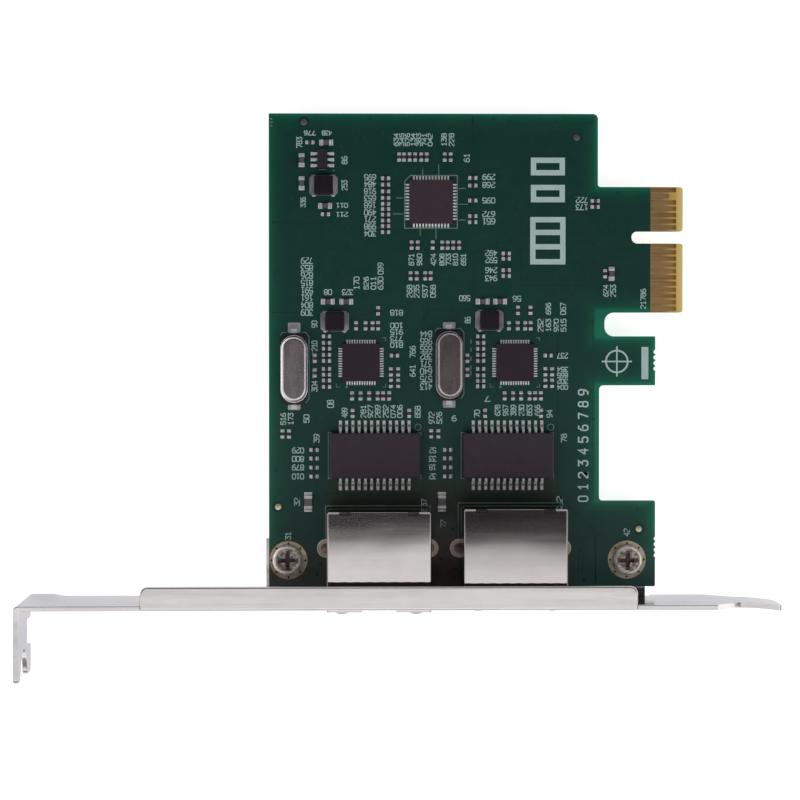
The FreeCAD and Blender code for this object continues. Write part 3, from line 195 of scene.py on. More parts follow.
# ------------------------------------------------------------ mesh building --
class Geo:
    """Collects faces in millimetres for one piece."""

    def __init__(self):
        self.v, self.f, self.mi, self.cur = [], [], [], 0

    def add(self, verts, faces):
        o = len(self.v)
        self.v.extend(verts)
        for f in faces:
            self.f.append([i + o for i in f])
            self.mi.append(self.cur)

    def prism(self, poly, z0, z1, inset=0.0):
        """A closed slab over a counter-clockwise outline."""
        n = len(poly)
        if sum(poly[i][0] * poly[(i + 1) % n][1] - poly[(i + 1) % n][0] * poly[i][1] for i in range(n)) < 0:
            poly = poly[::-1]
        vs = [(x, y, z0) for x, y in poly] + [(x, y, z1) for x, y in poly]
        fs = [list(range(n))[::-1], list(range(n, 2 * n))]
        fs += [[i, (i + 1) % n, n + (i + 1) % n, n + i] for i in range(n)]
        self.add(vs, fs)

    def rings(self, rings, close=True, cap0=True, cap1=True):
        """Skins a list of equal-length closed rings of 3-D points."""
        n = len(rings[0])
        vs = [p for r in rings for p in r]
        fs = []
        for k in range(len(rings) - 1):
            for i in range(n):
                j = (i + 1) % n
                fs.append([k * n + i, k * n + j, (k + 1) * n + j, (k + 1) * n + i])
        if cap0:
            fs.append(list(range(n))[::-1])
        if cap1:
            fs.append(list(range((len(rings) - 1) * n, len(rings) * n)))
        self.add(vs, fs)

    def lathe(self, cx, cy, prof, n=32, hole=False):
        """prof: list of (r, z) from the bottom up; closed ring profile if hole."""
        rs = []
        for r, z in prof:
            rs.append([(cx + r * math.cos(2 * math.pi * i / n), cy + r * math.sin(2 * math.pi * i / n), z)
                       for i in range(n)])
        if hole:
            self.rings(rs + [rs[0]], cap0=False, cap1=False)
        else:
            self.rings(rs)

    def ring(self, cx, cy, r0, r1, z0, z1, n=36):
        self.lathe(cx, cy, [(r0, z0), (r1, z0), (r1, z1), (r0, z1)], n, hole=True)

    def disc(self, cx, cy, r, z0, z1, n=20):
        self.lathe(cx, cy, [(r, z0), (r, z1)], n)

    def ribbon(self, pts, w, z0, z1, closed=False, ends=4):
        """A flat line of width w along a path, mitred at its corners, with round ends."""
        p = [np.array(q, float) for q in pts]
        n = len(p)
        h = w / 2
        lefts, rights = [], []
        for i in range(n):
            a = p[i - 1] if (i > 0 or closed) else None
            b = p[(i + 1) % n] if (i < n - 1 or closed) else None
            d1 = (p[i] - a) / np.linalg.norm(p[i] - a) if a is not None else None
            d2 = (b - p[i]) / np.linalg.norm(b - p[i]) if b is not None else None
            d1 = d2 if d1 is None else d1
            d2 = d1 if d2 is None else d2
            n1, n2 = np.array([-d1[1], d1[0]]), np.array([-d2[1], d2[0]])
            m = n1 + n2
            L = np.linalg.norm(m)
            m = n1 if L < 1e-6 else m / L
            k = h / max(0.45, float(np.dot(m, n1)))
            lefts.append(p[i] + m * k)
            rights.append(p[i] - m * k)
        if closed:
            A, B = [tuple(q) for q in lefts], [tuple(q) for q in rights]
            ring = [A, B]
            vs = [(x, y, z) for R, z in ((A, z0), (A, z1), (B, z1), (B, z0)) for x, y in R]
            fs = []
            for k in range(4):
                for i in range(n):
                    j = (i + 1) % n
                    k2 = (k + 1) % 4
                    fs.append([k * n + i, k * n + j, k2 * n + j, k2 * n + i])
            self.add(vs, fs)
            return
        poly = [tuple(q) for q in lefts]
        def cap(c, start):
            a0 = math.atan2(start[1] - c[1], start[0] - c[0])
            return [(c[0] + h * math.cos(a0 - math.pi * t / ends), c[1] + h * math.sin(a0 - math.pi * t / ends))
                    for t in range(1, ends)]
        if ends:
            poly += cap(p[-1], lefts[-1])
        poly += [tuple(q) for q in rights[::-1]]
        if ends:
            poly += cap(p[0], rights[0])
        self.prism(poly, z0, z1)


def piece(geo, name, mats, smooth=False, angle=None):
    me = bpy.data.meshes.new(name)
    me.from_pydata([(x * MM, y * MM, z * MM) for x, y, z in geo.v], [], geo.f)
    for m in (mats if isinstance(mats, (list, tuple)) else [mats]):
        me.materials.append(m.m if isinstance(m, Mat) else m)
    me.polygons.foreach_set("material_index", geo.mi)
    me.validate()
    me.update()
    o = bpy.data.objects.new(name, me)
    scene.collection.objects.link(o)
    if smooth or angle:
        me.polygons.foreach_set("use_smooth", [True] * len(me.polygons))
        if angle:
            me.set_sharp_from_angle(angle=math.radians(angle))
    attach(o, "root")
    return o


def solids(name):
    """Boxes (lo, hi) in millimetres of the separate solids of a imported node, in a settled order."""
    me = nodes[name].data
    n = len(me.vertices)
    co = np.zeros(n * 3)
    me.vertices.foreach_get("co", co)
    co = co.reshape(-1, 3) * 1000
    keys = {}
    rep = np.zeros(n, int)
    for i, k in enumerate(map(tuple, np.round(co, 3))):
        rep[i] = keys.setdefault(k, i)
    parent = list(range(n))

    def find(i):
        while parent[i] != i:
            parent[i] = parent[parent[i]]
            i = parent[i]
        return i

    for e in me.edges:
        a, b = find(int(rep[e.vertices[0]])), find(int(rep[e.vertices[1]]))
        if a != b:
            parent[max(a, b)] = min(a, b)
    groups = {}
    for i in range(n):
        groups.setdefault(find(int(rep[i])), []).append(i)
    out = [(co[g].min(0), co[g].max(0)) for g in groups.values()]
    out.sort(key=lambda b: (round(b[0][0], 2), round(b[0][1], 2), round(b[0][2], 2)))
    return out


def put(node_name, mat):
    me = nodes[node_name].data
    me.materials.clear()
    me.materials.append(mat.m)
    return nodes[node_name]
# ------------------------------------------------------- the card's finishes --
def axis_of(m):
    sep = m.node("ShaderNodeSeparateXYZ")
    m.link(m.tc.outputs["Object"], sep.inputs[0])
    return sep.outputs


def solder_mask(name, over, rough=0.35):
    """Green mask. `over` is its tone above the copper planes; it thins and brightens towards the outline."""
    m = Mat(name, over, 0.0, rough, Specular_IOR_Level=0.38, IOR=1.5)
    ax = axis_of(m)

    def inside(out, lo, hi, soft):
        a = m.rng(out, 0.0, 1.0, (lo - soft) * MM, (lo + soft) * MM)
        b = m.rng(out, 1.0, 0.0, (hi - soft) * MM, (hi + soft) * MM)
        return m.math("MULTIPLY", a, b)

    def within(x0, x1, y0, y1):
        """distance (mm) to the nearest side of a rectangle, positive inside"""
        a = m.math("MINIMUM", m.math("SUBTRACT", ax[0], x0 * MM), m.math("SUBTRACT", x1 * MM, ax[0]))
        b = m.math("MINIMUM", m.math("SUBTRACT", ax[1], y0 * MM), m.math("SUBTRACT", y1 * MM, ax[1]))
        return m.math("MINIMUM", a, b)

    gap = within(-20.96, 31.75, -36.0, 44.85)
    for box in ((10.0, 60.0, 13.25, 33.05), (10.0, 41.19, 1.31, 9.19), (10.0, 41.20, -40.0, -17.24)):
        gap = m.math("MAXIMUM", gap, within(*box))
    wobble = m.math("MULTIPLY", m.math("SUBTRACT", m.noise(0.25, 2.0), 0.5), 0.6 * MM)
    gap = m.math("ADD", gap, wobble)
    green = m.ramp(m.rng(gap, 0.0, 1.0, 0.0, 4.0 * MM), [(0.0, (0.0090, 0.215, 0.125)), (0.06, (0.0080, 0.185, 0.105)), (0.14, (0.0050, 0.122, 0.072)),
                   (0.26, (0.0035, 0.095, 0.054)), (0.42, (0.0040, 0.075, 0.047)), (0.66, (0.0046, 0.061, 0.044)), (0.95, over)])
    cloud = m.rng(m.noise(0.045, 2.0), 0.94, 1.07, 0.35, 0.65)
    tabs = m.math("MULTIPLY", m.rng(ax[0], 1.0, 1.14, 30.5 * MM, 33.5 * MM),
                  m.math("MAXIMUM", m.rng(ax[0], 1.0, 1.22, 37.5 * MM, 40.5 * MM), 1.0))
    fingers = inside(ax[1], 12.0, 34.0, 0.6)
    tabs = m.math("ADD", m.math("MULTIPLY", tabs, m.math("SUBTRACT", 1.0, fingers)), fingers)
    left = m.rng(m.math("MULTIPLY", m.rng(ax[1], 1.0, 0.0, -22.0 * MM, 30.0 * MM), m.rng(ax[0], 1.0, 0.0, -19.5 * MM, -17.0 * MM)), 1.0, 1.18)
    gain = m.math("MULTIPLY", m.math("MULTIPLY", cloud, tabs), left)
    vec = m.node("ShaderNodeCombineXYZ")
    for k in range(3):
        m.link(gain, vec.inputs[k])
    col = m.mix(1.0, green, vec.outputs[0], "MULTIPLY")
    # painted light and shade: towards the bracket the mask takes a browner tone standing in for its reflection of the
    # bracket and the shade under the flange, most of all between the jacks, and a lighter green at the right end that
    # lifts the shade
    bracket_shade_col = m.mix(inside(ax[0], 5.2, 9.6, 0.6), (0.080, 0.090, 0.084), (0.170, 0.105, 0.108))
    bracket_shade_col = m.mix(m.rng(ax[0], 0.0, 1.0, 26.8 * MM, 29.0 * MM), bracket_shade_col, (0.032, 0.112, 0.092))
    low = m.rng(ax[1], 1.0, 0.0, -29.2 * MM, -23.2 * MM)
    between_jacks_shade = m.math("MULTIPLY", m.rng(ax[1], 1.0, 0.0, -25.5 * MM, -17.6 * MM), inside(ax[0], 5.2, 9.6, 0.6))
    col = m.mix(m.math("MAXIMUM", low, between_jacks_shade), col, bracket_shade_col)
    # painted shadow: a dark olive band between the magnetics and the jacks stands in for the shadow the jacks cast
    # towards +Y
    jack_shadow_band = m.math("MULTIPLY", inside(ax[1], -19.6, -13.9, 0.9), inside(ax[0], -11.6, 25.6, 0.8))
    col = m.mix(m.math("MULTIPLY", jack_shadow_band, 0.9), col, (0.034, 0.044, 0.028))
    # woven glass just shows through the mask
    wx = m.node("ShaderNodeTexWave", wave_type="BANDS", bands_direction="X", wave_profile="SIN")
    wy = m.node("ShaderNodeTexWave", wave_type="BANDS", bands_direction="Y", wave_profile="SIN")
    for w in (wx, wy):
        w.inputs["Scale"].default_value = 0.62
        w.inputs["Distortion"].default_value = 0.6
        w.inputs["Detail"].default_value = 1.0
        m.link(m.coords(), w.inputs["Vector"])
    weave = m.math("MULTIPLY", wx.outputs["Fac"], wy.outputs["Fac"])
    col = m.mix(m.rng(weave, 0.0, 0.10), col, tuple(min(1, c * 1.4) for c in over))
    # between and beyond the edge contacts the laminate is bare: tan, and paler on the bevel
    bare_zone = m.math("MULTIPLY", m.rng(ax[0], 0.0, 1.0, 40.28 * MM, 40.46 * MM), inside(ax[1], 12.0, 34.0, 0.3))
    tan = m.ramp(m.noise(1.1, 3.0, 0.6, (0.35, 1, 1)), [(0.30, (0.34, 0.220, 0.115)), (0.70, (0.43, 0.288, 0.160))])
    tan = m.mix(m.rng(ax[0], 0.0, 1.0, 42.2 * MM, 44.0 * MM), tan, (0.80, 0.53, 0.13))
    bevel = m.ramp(m.rng(ax[0], 0.0, 1.0, 44.42 * MM, 45.60 * MM),
                   [(0.0, (0.80, 0.47, 0.09)), (0.16, (0.97, 0.62, 0.13)), (0.55, (0.96, 0.72, 0.22)), (1.0, (0.95, 0.86, 0.50))])
    lam = m.mix(m.rng(ax[0], 0.0, 1.0, 44.40 * MM, 44.56 * MM), tan, bevel)
    col = m.mix(bare_zone, col, lam)
    # the sawn edge is bare laminate, in layers
    nrm = m.node("ShaderNodeSeparateXYZ")
    m.link(m.tc.outputs["Normal"], nrm.inputs[0])
    side = m.rng(m.math("ABSOLUTE", nrm.outputs[2]), 1.0, 0.0, 0.55, 0.75)
    layers = m.ramp(m.noise(2.2, 2.0, 0.6, (0.25, 0.25, 9.0)), [(0.30, (0.065, 0.115, 0.045)), (0.72, (0.22, 0.28, 0.12))])
    m.colour(m.mix(side, col, layers))
    r = m.math("ADD", m.rng(m.noise(0.5, 3.0), rough - 0.04, rough + 0.06, 0.3, 0.7), m.math("MULTIPLY", side, 0.35))
    m.roughness(m.math("ADD", r, m.math("MULTIPLY", bare_zone, 0.15)))
    m.bump(weave, 0.08, 0.008)
    m.bump(m.noise(0.5, 2.0), 0.05, 0.02)
    return m


MASK_OVER = (0.0047, 0.0560, 0.0425)
mask = solder_mask("solder_mask_green", MASK_OVER)
trace_mat = Mat("mask_over_track", (0.0050, 0.063, 0.050), 0.0, 0.38, Specular_IOR_Level=0.38)
trace_mat.colour(trace_mat.ramp(trace_mat.noise(0.2, 2.0), [(0.3, (0.0048, 0.059, 0.046)), (0.7, (0.0060, 0.068, 0.053))]))
trace_mat.roughness(trace_mat.rng(trace_mat.noise(0.7), 0.34, 0.46, 0.3, 0.7)).bump(trace_mat.noise(2.0), 0.06, 0.01)
gap_mat = Mat("mask_over_gap", (0.0032, 0.043, 0.034), 0.0, 0.40, Specular_IOR_Level=0.38)
gap_mat.colour(gap_mat.ramp(gap_mat.noise(0.2, 2.0), [(0.3, (0.0030, 0.041, 0.032)), (0.7, (0.0038, 0.047, 0.037))]))
gap_mat.roughness(gap_mat.rng(gap_mat.noise(0.7), 0.36, 0.48, 0.3, 0.7)).bump(gap_mat.noise(2.0), 0.06, 0.01)

gold = Mat("edge_contact_gold", (0.70, 0.43, 0.16), 1.0, 0.36)
gold_ax = axis_of(gold)
gold_tone = gold.ramp(gold.noise(0.7, 3.0, 0.6, (0.15, 1, 1)), [(0.30, (0.64, 0.385, 0.150)), (0.70, (0.77, 0.480, 0.210))])
gold_toe = gold.rng(gold_ax[0], 0.0, 1.0, 43.7 * MM, 44.3 * MM)
gold.colour(gold.mix(gold.math("MULTIPLY", gold_toe, 0.75), gold_tone, (0.42, 0.24, 0.055)))
gold.roughness(gold.rng(gold.noise(2.0, 3.0, 0.6, (0.10, 1, 1)), 0.33, 0.42, 0.3, 0.7))
gold.bump(gold.noise(4.0, 2.0, 0.5, (0.10, 1, 1)), 0.04, 0.002)

land = metal("plated_land", (0.74, 0.62, 0.48), 0.36, 0.10, tint=(0.42, 0.32, 0.235), grain=2.2, bump=0.30, deep=0.02)
tin = metal("tinned_copper", (0.93, 0.95, 0.94), 0.44, 0.08, tint=(0.80, 0.83, 0.82), grain=4.0, bump=0.14, deep=0.010)
solder = metal("solder_joint", (0.95, 0.97, 0.96), 0.36, 0.08, tint=(0.84, 0.87, 0.86), grain=3.0, bump=0.12, deep=0.012)
coil_tin = metal("coil_terminal_tin", (0.60, 0.58, 0.60), 0.40, 0.10, tint=(0.17, 0.16, 0.18), grain=2.2, bump=0.45, deep=0.05)
worn_tin = metal("solder_dull", (0.66, 0.68, 0.68), 0.44, 0.08, tint=(0.34, 0.35, 0.36), grain=2.5, bump=0.30, deep=0.03)
fluxed = metal("solder_fluxed", (0.44, 0.35, 0.31), 0.40, 0.08, tint=(0.15, 0.105, 0.095), grain=2.5, bump=0.30, deep=0.03)
dull_copper = metal("bare_target", (0.20, 0.21, 0.19), 0.50, 0.08, grain=5.0, bump=0.1, deep=0.006)
gold_target = metal("gold_target", (0.82, 0.80, 0.52), 0.42, 0.08, tint=(0.70, 0.70, 0.46), grain=5.0, bump=0.1, deep=0.006)

chip_tin = metal("chip_end_tin", (0.97, 0.98, 0.98), 0.34, 0.08, tint=(0.66, 0.68, 0.69), grain=2.6, bump=0.35, deep=0.03)
chip_tin.colour(chip_tin.ramp(chip_tin.noise(1.3, 3.0), [(0.34, (0.62, 0.64, 0.65)), (0.62, (0.97, 0.98, 0.98))]))
chip_tin.s.inputs["Metallic"].default_value = 0.22


def gull_leads(name, which):
    """Formed leads with painted light: a painted highlight over the shoulder, painted shade in the bend, and a painted
    highlight again where the foot is soldered.
    """
    m = Mat(name, (0.90, 0.92, 0.91), 0.25, 0.38)
    ax = axis_of(m)
    lo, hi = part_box(which + "_body")
    out = m.math("ABSOLUTE", m.math("SUBTRACT", ax[1], (lo.y + hi.y) / 2))
    out = m.math("ADD", out, m.math("MULTIPLY", m.math("SUBTRACT", m.noise(1.6, 2.0), 0.5), 0.22 * MM))
    span = m.rng(out, 0.0, 1.0, 3.55 * MM, 5.55 * MM)
    m.colour(m.ramp(span, [(0.0, (0.62, 0.63, 0.62)), (0.10, (0.95, 0.97, 0.96)), (0.44, (0.90, 0.92, 0.91)), (0.56, (0.20, 0.20, 0.20)),
                           (0.64, (0.22, 0.22, 0.22)), (0.72, (0.80, 0.83, 0.81)), (0.92, (0.97, 1.0, 0.99))]))
    m.roughness(m.rng(m.noise(1.5, 3.0), 0.30, 0.42, 0.3, 0.7))
    m.bump(m.noise(3.0, 2.0), 0.2, 0.012)
    return m


for m_, share in ((tin, 0.45), (solder, 0.40), (coil_tin, 0.60), (worn_tin, 0.65), (land, 0.75)):
    m_.s.inputs["Metallic"].default_value = share

# bracket: nickel-plated sheet, drawn lengthwise, with soft dents; beyond Y −34 mm its colour is darkened as painted
# shade
steel = metal("bracket_nickel_steel", (0.80, 0.775, 0.765), 0.15, 0.04, tint=(0.76, 0.735, 0.725),
              brush=(0.06, 1, 1), grain=7.0, bump=0.06, deep=0.002)
steel_ax = axis_of(steel)
steel_tone = steel.ramp(steel.noise(0.35, 4.0), [(0.30, (0.76, 0.735, 0.725)), (0.70, (0.80, 0.775, 0.765))])
# painted shade: the bracket's colour darkens beyond Y −34 mm, dimming its reflection there
steel.colour(steel.mix(steel.math("MULTIPLY", steel.rng(steel_ax[1], 1.0, 0.0, -36.5 * MM, -34.0 * MM), 0.9), steel_tone, (0.62, 0.605, 0.60)))
steel.bump(steel.noise(0.07, 2.0, 0.5), 0.12, 0.03)
steel.s.inputs["Specular Tint"].default_value = (0.52, 0.52, 0.55, 1)
def shield_metal(name, rough, lean, roof_band=None):
    """Bright nickel on bent sheet: roofs that lie a few hundredths of a degree off level, and sides darkened with
    painted shade.
    """
    m = metal(name, (0.655, 0.622, 0.612), rough, rough * 0.17, tint=(0.625, 0.590, 0.582),
              brush=(0.05, 1, 1), grain=1.2, bump=0.02, deep=0.001)
    ax = axis_of(m)
    m.bump(m.noise(0.11, 1.0, 0.4, (0.7, 1, 1)), 0.8, 0.020)
    m.bump(m.math("MULTIPLY", ax[1], 1000.0 * (1 if lean > 0 else -1)), 1.0, abs(lean))
    n = m.node("ShaderNodeSeparateXYZ")
    m.link(m.tc.outputs["Normal"], n.inputs[0])
    tone = m.ramp(m.noise(0.35, 4.0), [(0.30, (0.635, 0.600, 0.590)), (0.70, (0.67, 0.637, 0.627))])
    # painted shade: faces turned towards ±X, the side walls and their bends, are darkened
    side_wall_shade = m.rng(m.math("ABSOLUTE", n.outputs[0]), 0.0, 1.0, 0.10, 0.60)
    if roof_band:
        # the right roof's colour is darkened in a band from Y −30 to −20 mm, deepest near Y −24 mm
        tone = m.mix(1.0, tone, m.ramp(m.rng(ax[1], 0.0, 1.0, -30.0 * MM, -20.0 * MM), [(y, (v, v, v)) for y, v in roof_band]), "MULTIPLY")
    m.colour(m.mix(side_wall_shade, tone, (0.26, 0.245, 0.24)))
    m.s.inputs["Specular Tint"].default_value = (0.55, 0.52, 0.54, 1)
    return m


shields = {"left": shield_metal("shield_nickel_left", 0.062, 0.0010), "right": shield_metal("shield_nickel_right", 0.052, -0.00040,
                                  ((0.08, 0.94), (0.26, 0.87), (0.42, 0.78), (0.62, 0.72), (0.74, 0.86), (0.84, 1.0)))}


def screw_metal(name):
    """Nickel-plated steel: bright rolled rim; the sunk face is painted dark and mottled, a painted dark reflection, and
    the cross darker still, painted shade in its recess.
    """
    m = Mat(name, (0.80, 0.74, 0.68), 0.50, 0.24)
    ax = axis_of(m)
    far = None
    for side in ("left", "right"):
        lo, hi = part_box("bracket_screw_" + side)
        cx, cy = (lo.x + hi.x) / 2, (lo.y + hi.y) / 2
        dx, dy = m.math("SUBTRACT", ax[0], cx), m.math("SUBTRACT", ax[1], cy)
        d = m.math("SQRT", m.math("ADD", m.math("MULTIPLY", dx, dx), m.math("MULTIPLY", dy, dy)))
        far = d if far is None else m.math("MINIMUM", far, d)
    sunk = m.rng(far, 1.0, 0.0, 1.74 * MM, 1.84 * MM)
    deep = m.rng(ax[2], 1.0, 0.0, 6.60 * MM, 7.10 * MM)
    rim = m.ramp(m.noise(0.9, 3.0), [(0.30, (0.80, 0.72, 0.65)), (0.62, (1.0, 0.96, 0.91))])
    face = m.ramp(m.noise(1.5, 3.0, 0.6), [(0.34, (0.17, 0.120, 0.105)), (0.48, (0.40, 0.32, 0.29)), (0.64, (0.95, 0.86, 0.80))])
    col = m.mix(sunk, rim, face)
    # painted shade: the cross recess, below about 7 mm, is darkened further
    col = m.mix(m.math("MULTIPLY", deep, sunk), col, (0.115, 0.080, 0.075))
    m.colour(col)
    m.roughness(m.math("ADD", m.rng(m.noise(1.6, 3.0), 0.18, 0.32, 0.3, 0.7), m.math("MULTIPLY", sunk, 0.08)))
    m.bump(m.noise(2.2, 3.0), 0.25, 0.02)
    return m


screw_mat = screw_metal("screw_nickel")
can_mat = metal("can_nickel_silver", (0.56, 0.505, 0.53), 0.26, 0.03, tint=(0.52, 0.47, 0.49), brush=(1, 0.3, 1),
                grain=2.0, bump=0.03, deep=0.002)
# painted shade: the right crystal's can is a darker copy of the same nickel silver
can_shaded = metal("can_nickel_silver_shaded", (0.325, 0.275, 0.280), 0.28, 0.03, tint=(0.295, 0.25, 0.255), brush=(1, 0.3, 1),
                 grain=2.0, bump=0.03, deep=0.002)
# painted highlight: faces of each can tilted away from level, its rounded rim and sides, are lightened
for m_, lift in ((can_mat, (0.97, 0.93, 0.94)), (can_shaded, (0.66, 0.61, 0.62))):
    n_ = m_.node("ShaderNodeSeparateXYZ")
    m_.link(m_.tc.outputs["Normal"], n_.inputs[0])
    tone = m_.s.inputs["Base Color"].links[0].from_socket
    m_.colour(m_.mix(m_.rng(n_.outputs[2], 1.0, 0.0, 0.90, 0.985), tone, lift))

wire_gold = metal("contact_wire_gold", (0.95, 0.73, 0.36), 0.22, 0.06, brush=(1, 0.1, 1), grain=5.0)

black = plastic("black_nylon", (0.022, 0.021, 0.023), 0.46, grain=6.0, bump=0.20)
base_mat = plastic("insulator_black", (0.016, 0.014, 0.015), 0.55)
epoxy = plastic("package_epoxy", (0.0270, 0.0090, 0.0205), 0.50, grain=11.0, bump=0.30, deep=0.012)
epoxy_mag = plastic("magnetics_epoxy", (0.044, 0.0250, 0.0405), 0.46, second=(0.036, 0.0215, 0.032), grain=8.0, bump=0.28, deep=0.016)
bridge_epoxy = plastic("bridge_package_epoxy", (0.058, 0.0290, 0.0500), 0.50, grain=11.0, bump=0.30, deep=0.012)
ferrite = plastic("ferrite_core", (0.0130, 0.0050, 0.0105), 0.42, Specular_IOR_Level=0.36, grain=4.5, bump=0.30, deep=0.015)
cap_mat = plastic("capacitor_ceramic", (0.105, 0.066, 0.092), 0.42, second=(0.070, 0.052, 0.068), grain=7.0, bump=0.15, deep=0.006)
cap_mid = plastic("capacitor_ceramic_medium", (0.150, 0.138, 0.150), 0.42, second=(0.105, 0.105, 0.112), grain=7.0, bump=0.15, deep=0.006)
cap_big = plastic("capacitor_ceramic_large", (0.215, 0.185, 0.190), 0.42, second=(0.165, 0.145, 0.150), grain=6.0, bump=0.15, deep=0.006)
res_mat = plastic("resistor_glaze", (0.040, 0.036, 0.042), 0.30, second=(0.055, 0.055, 0.058), grain=7.0, bump=0.12, deep=0.006)
ink = plastic("screen_ink", (0.64, 0.86, 0.84), 0.62, second=(0.58, 0.78, 0.76), grain=7.0, bump=0.25, deep=0.008)
ink_small = plastic("screen_ink_thin", (0.58, 0.80, 0.745), 0.62, second=(0.46, 0.66, 0.61), grain=7.0, bump=0.25, deep=0.008)
light_mat = plastic("light_window_milky", (0.62, 0.66, 0.60), 0.30, second=(0.56, 0.60, 0.54), grain=4.0, bump=0.08, deep=0.008,
                    Transmission_Weight=0.35, IOR=1.49)
hole_mat = plastic("via_recess", (0.010, 0.016, 0.012), 0.6)

put("circuit_board", mask)
put("edge_contacts_component_side", gold)
put("edge_contacts_solder_side", gold)
put("plated_lands", land)
put("mounting_bracket", steel)
for s in ("left", "right"):
    put("bracket_screw_" + s, screw_mat)
    put("port_%s_shield" % s, shields[s])
    put("port_%s_housing" % s, black)
    put("port_%s_contacts" % s, wire_gold)
    put("port_%s_light_left" % s, light_mat)
    put("port_%s_light_right" % s, light_mat)
    put("controller_%s_body" % s, epoxy)
    put("controller_%s_leads" % s, tin)
    put("magnetics_%s_body" % s, epoxy_mag)
    put("magnetics_%s_leads" % s, gull_leads("gull_lead_tin_" + s, "magnetics_" + s))
    put("crystal_%s_can" % s, can_mat if s == "left" else can_shaded)
    put("crystal_%s_base" % s, base_mat)
    put("crystal_%s_leads" % s, tin)
for s in ("supply", "left", "right"):
    put("inductor_%s_core" % s, ferrite)
    put("inductor_%s_terminals" % s, coil_tin)
put("bridge_chip_body", bridge_epoxy)
put("bridge_chip_leads", tin)
put("regulator_body", plastic("regulator_epoxy", (0.027, 0.0155, 0.0245), 0.50, grain=9.0, bump=0.30, deep=0.012))
put("regulator_leads", tin)
put("small_capacitor_bodies", cap_mat)
put("small_resistor_bodies", res_mat)
put("medium_capacitor_bodies", cap_mid)
put("large_capacitor_bodies", cap_big)
for n in ("small_chip_terminations", "medium_capacitor_terminations", "large_capacitor_terminations"):
    put(n, chip_tin)
# painted shade: dark material for the strips on the jack roofs under the flange
roof_shade_strip_mat = plastic("roof_shade_strip", (0.030, 0.022, 0.020), 0.7, grain=4.0, bump=0.4, deep=0.03)
ink_faint = plastic("screen_ink_faint", (0.25, 0.36, 0.33), 0.62, second=(0.17, 0.26, 0.24), grain=7.0, bump=0.25, deep=0.008)
# ------------------------------------------------------------ solder and pads --
PAD = TOP + 0.035


def fillet(g, x, y, dx, dy, half, reach, tall, z=None, steps=6, spread=1.0):
    """Solder climbing a vertical end face: starts at (x, y), runs outward along (dx, dy), sinking concavely."""
    z = PAD if z is None else z
    nx, ny = -dy, dx
    rings = []
    for k in range(steps + 1):
        t = k / steps
        h = tall * (1 - t) ** 2.1 + 0.012
        w = half * (1.0 + 0.10 * math.sin(math.pi * t)) * (1 - 0.45 * t ** 4) * spread
        cx, cy = x + dx * reach * t, y + dy * reach * t
        pts = []
        for u, s in ((-1.0, 0.0), (-0.96, 0.45), (-0.70, 0.86), (-0.25, 1.0), (0.25, 1.0), (0.70, 0.86), (0.96, 0.45), (1.0, 0.0)):
            pts.append((cx + nx * w * u, cy + ny * w * u, z + h * s))
        pts += [(cx + nx * w, cy + ny * w, z - 0.02), (cx - nx * w, cy - ny * w, z - 0.02)]
        rings.append(pts[::-1])
    g.rings(rings)


def chip_joints(bodies, ends, pad_out, pad_in, wide, climb):
    """Pads and end fillets of two-terminal chip parts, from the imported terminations."""
    pads, joints = Geo(), Geo()
    centres = [((lo + hi) / 2) for b in bodies for lo, hi in solids(b)]
    C = np.array([c[:2] for c in centres])
    for lo, hi in solids(ends):
        c = (lo + hi) / 2
        k = int(np.argmin(((C - c[:2]) ** 2).sum(1)))
        d = c[:2] - C[k]
        if abs(d[0]) > abs(d[1]):
            dx, dy = (1.0 if d[0] > 0 else -1.0), 0.0
            x, y = (hi[0] if dx > 0 else lo[0]), c[1]
            half = (hi[1] - lo[1]) / 2
        else:
            dx, dy = 0.0, (1.0 if d[1] > 0 else -1.0)
            x, y = c[0], (hi[1] if dy > 0 else lo[1])
            half = (hi[0] - lo[0]) / 2
        w = half + wide
        a, b = -pad_in, pad_out
        xs = sorted((x + dx * a - dy * w, x + dx * b + dy * w))
        ys = sorted((y + dy * a - dx * w, y + dy * b + dx * w))
        r = 0.05
        pads.prism([(xs[0] + r, ys[0]), (xs[1] - r, ys[0]), (xs[1], ys[0] + r), (xs[1], ys[1] - r), (xs[1] - r, ys[1]),
                    (xs[0] + r, ys[1]), (xs[0], ys[1] - r), (xs[0], ys[0] + r)], TOP - 0.02, PAD)
        tall = (hi[2] - lo[2]) * climb
        fillet(joints, x - dx * 0.02, y - dy * 0.02, dx, dy, w * 0.93, pad_out * 0.92, tall)
    return pads, joints


p1, j1 = chip_joints(("small_capacitor_bodies", "small_resistor_bodies"), "small_chip_terminations", 0.22, 0.30, 0.045, 0.78)
p2, j2 = chip_joints(("medium_capacitor_bodies",), "medium_capacitor_terminations", 0.30, 0.40, 0.06, 0.72)
p3, j3 = chip_joints(("large_capacitor_bodies",), "large_capacitor_terminations", 0.555, 0.45, 0.02, 0.62)
for nm, g, mm_, sl in (("small_chip_pads", p1, tin, "tinned_lead"), ("small_chip_solder", j1, solder, "tinned_lead"),
                       ("medium_chip_pads", p2, tin, "tinned_lead"), ("medium_chip_solder", j2, solder, "tinned_lead"),
                       ("large_chip_pads", p3, tin, "tinned_lead"), ("large_chip_solder", j3, solder, "tinned_lead")):
    piece(g, nm, mm_, angle=40)

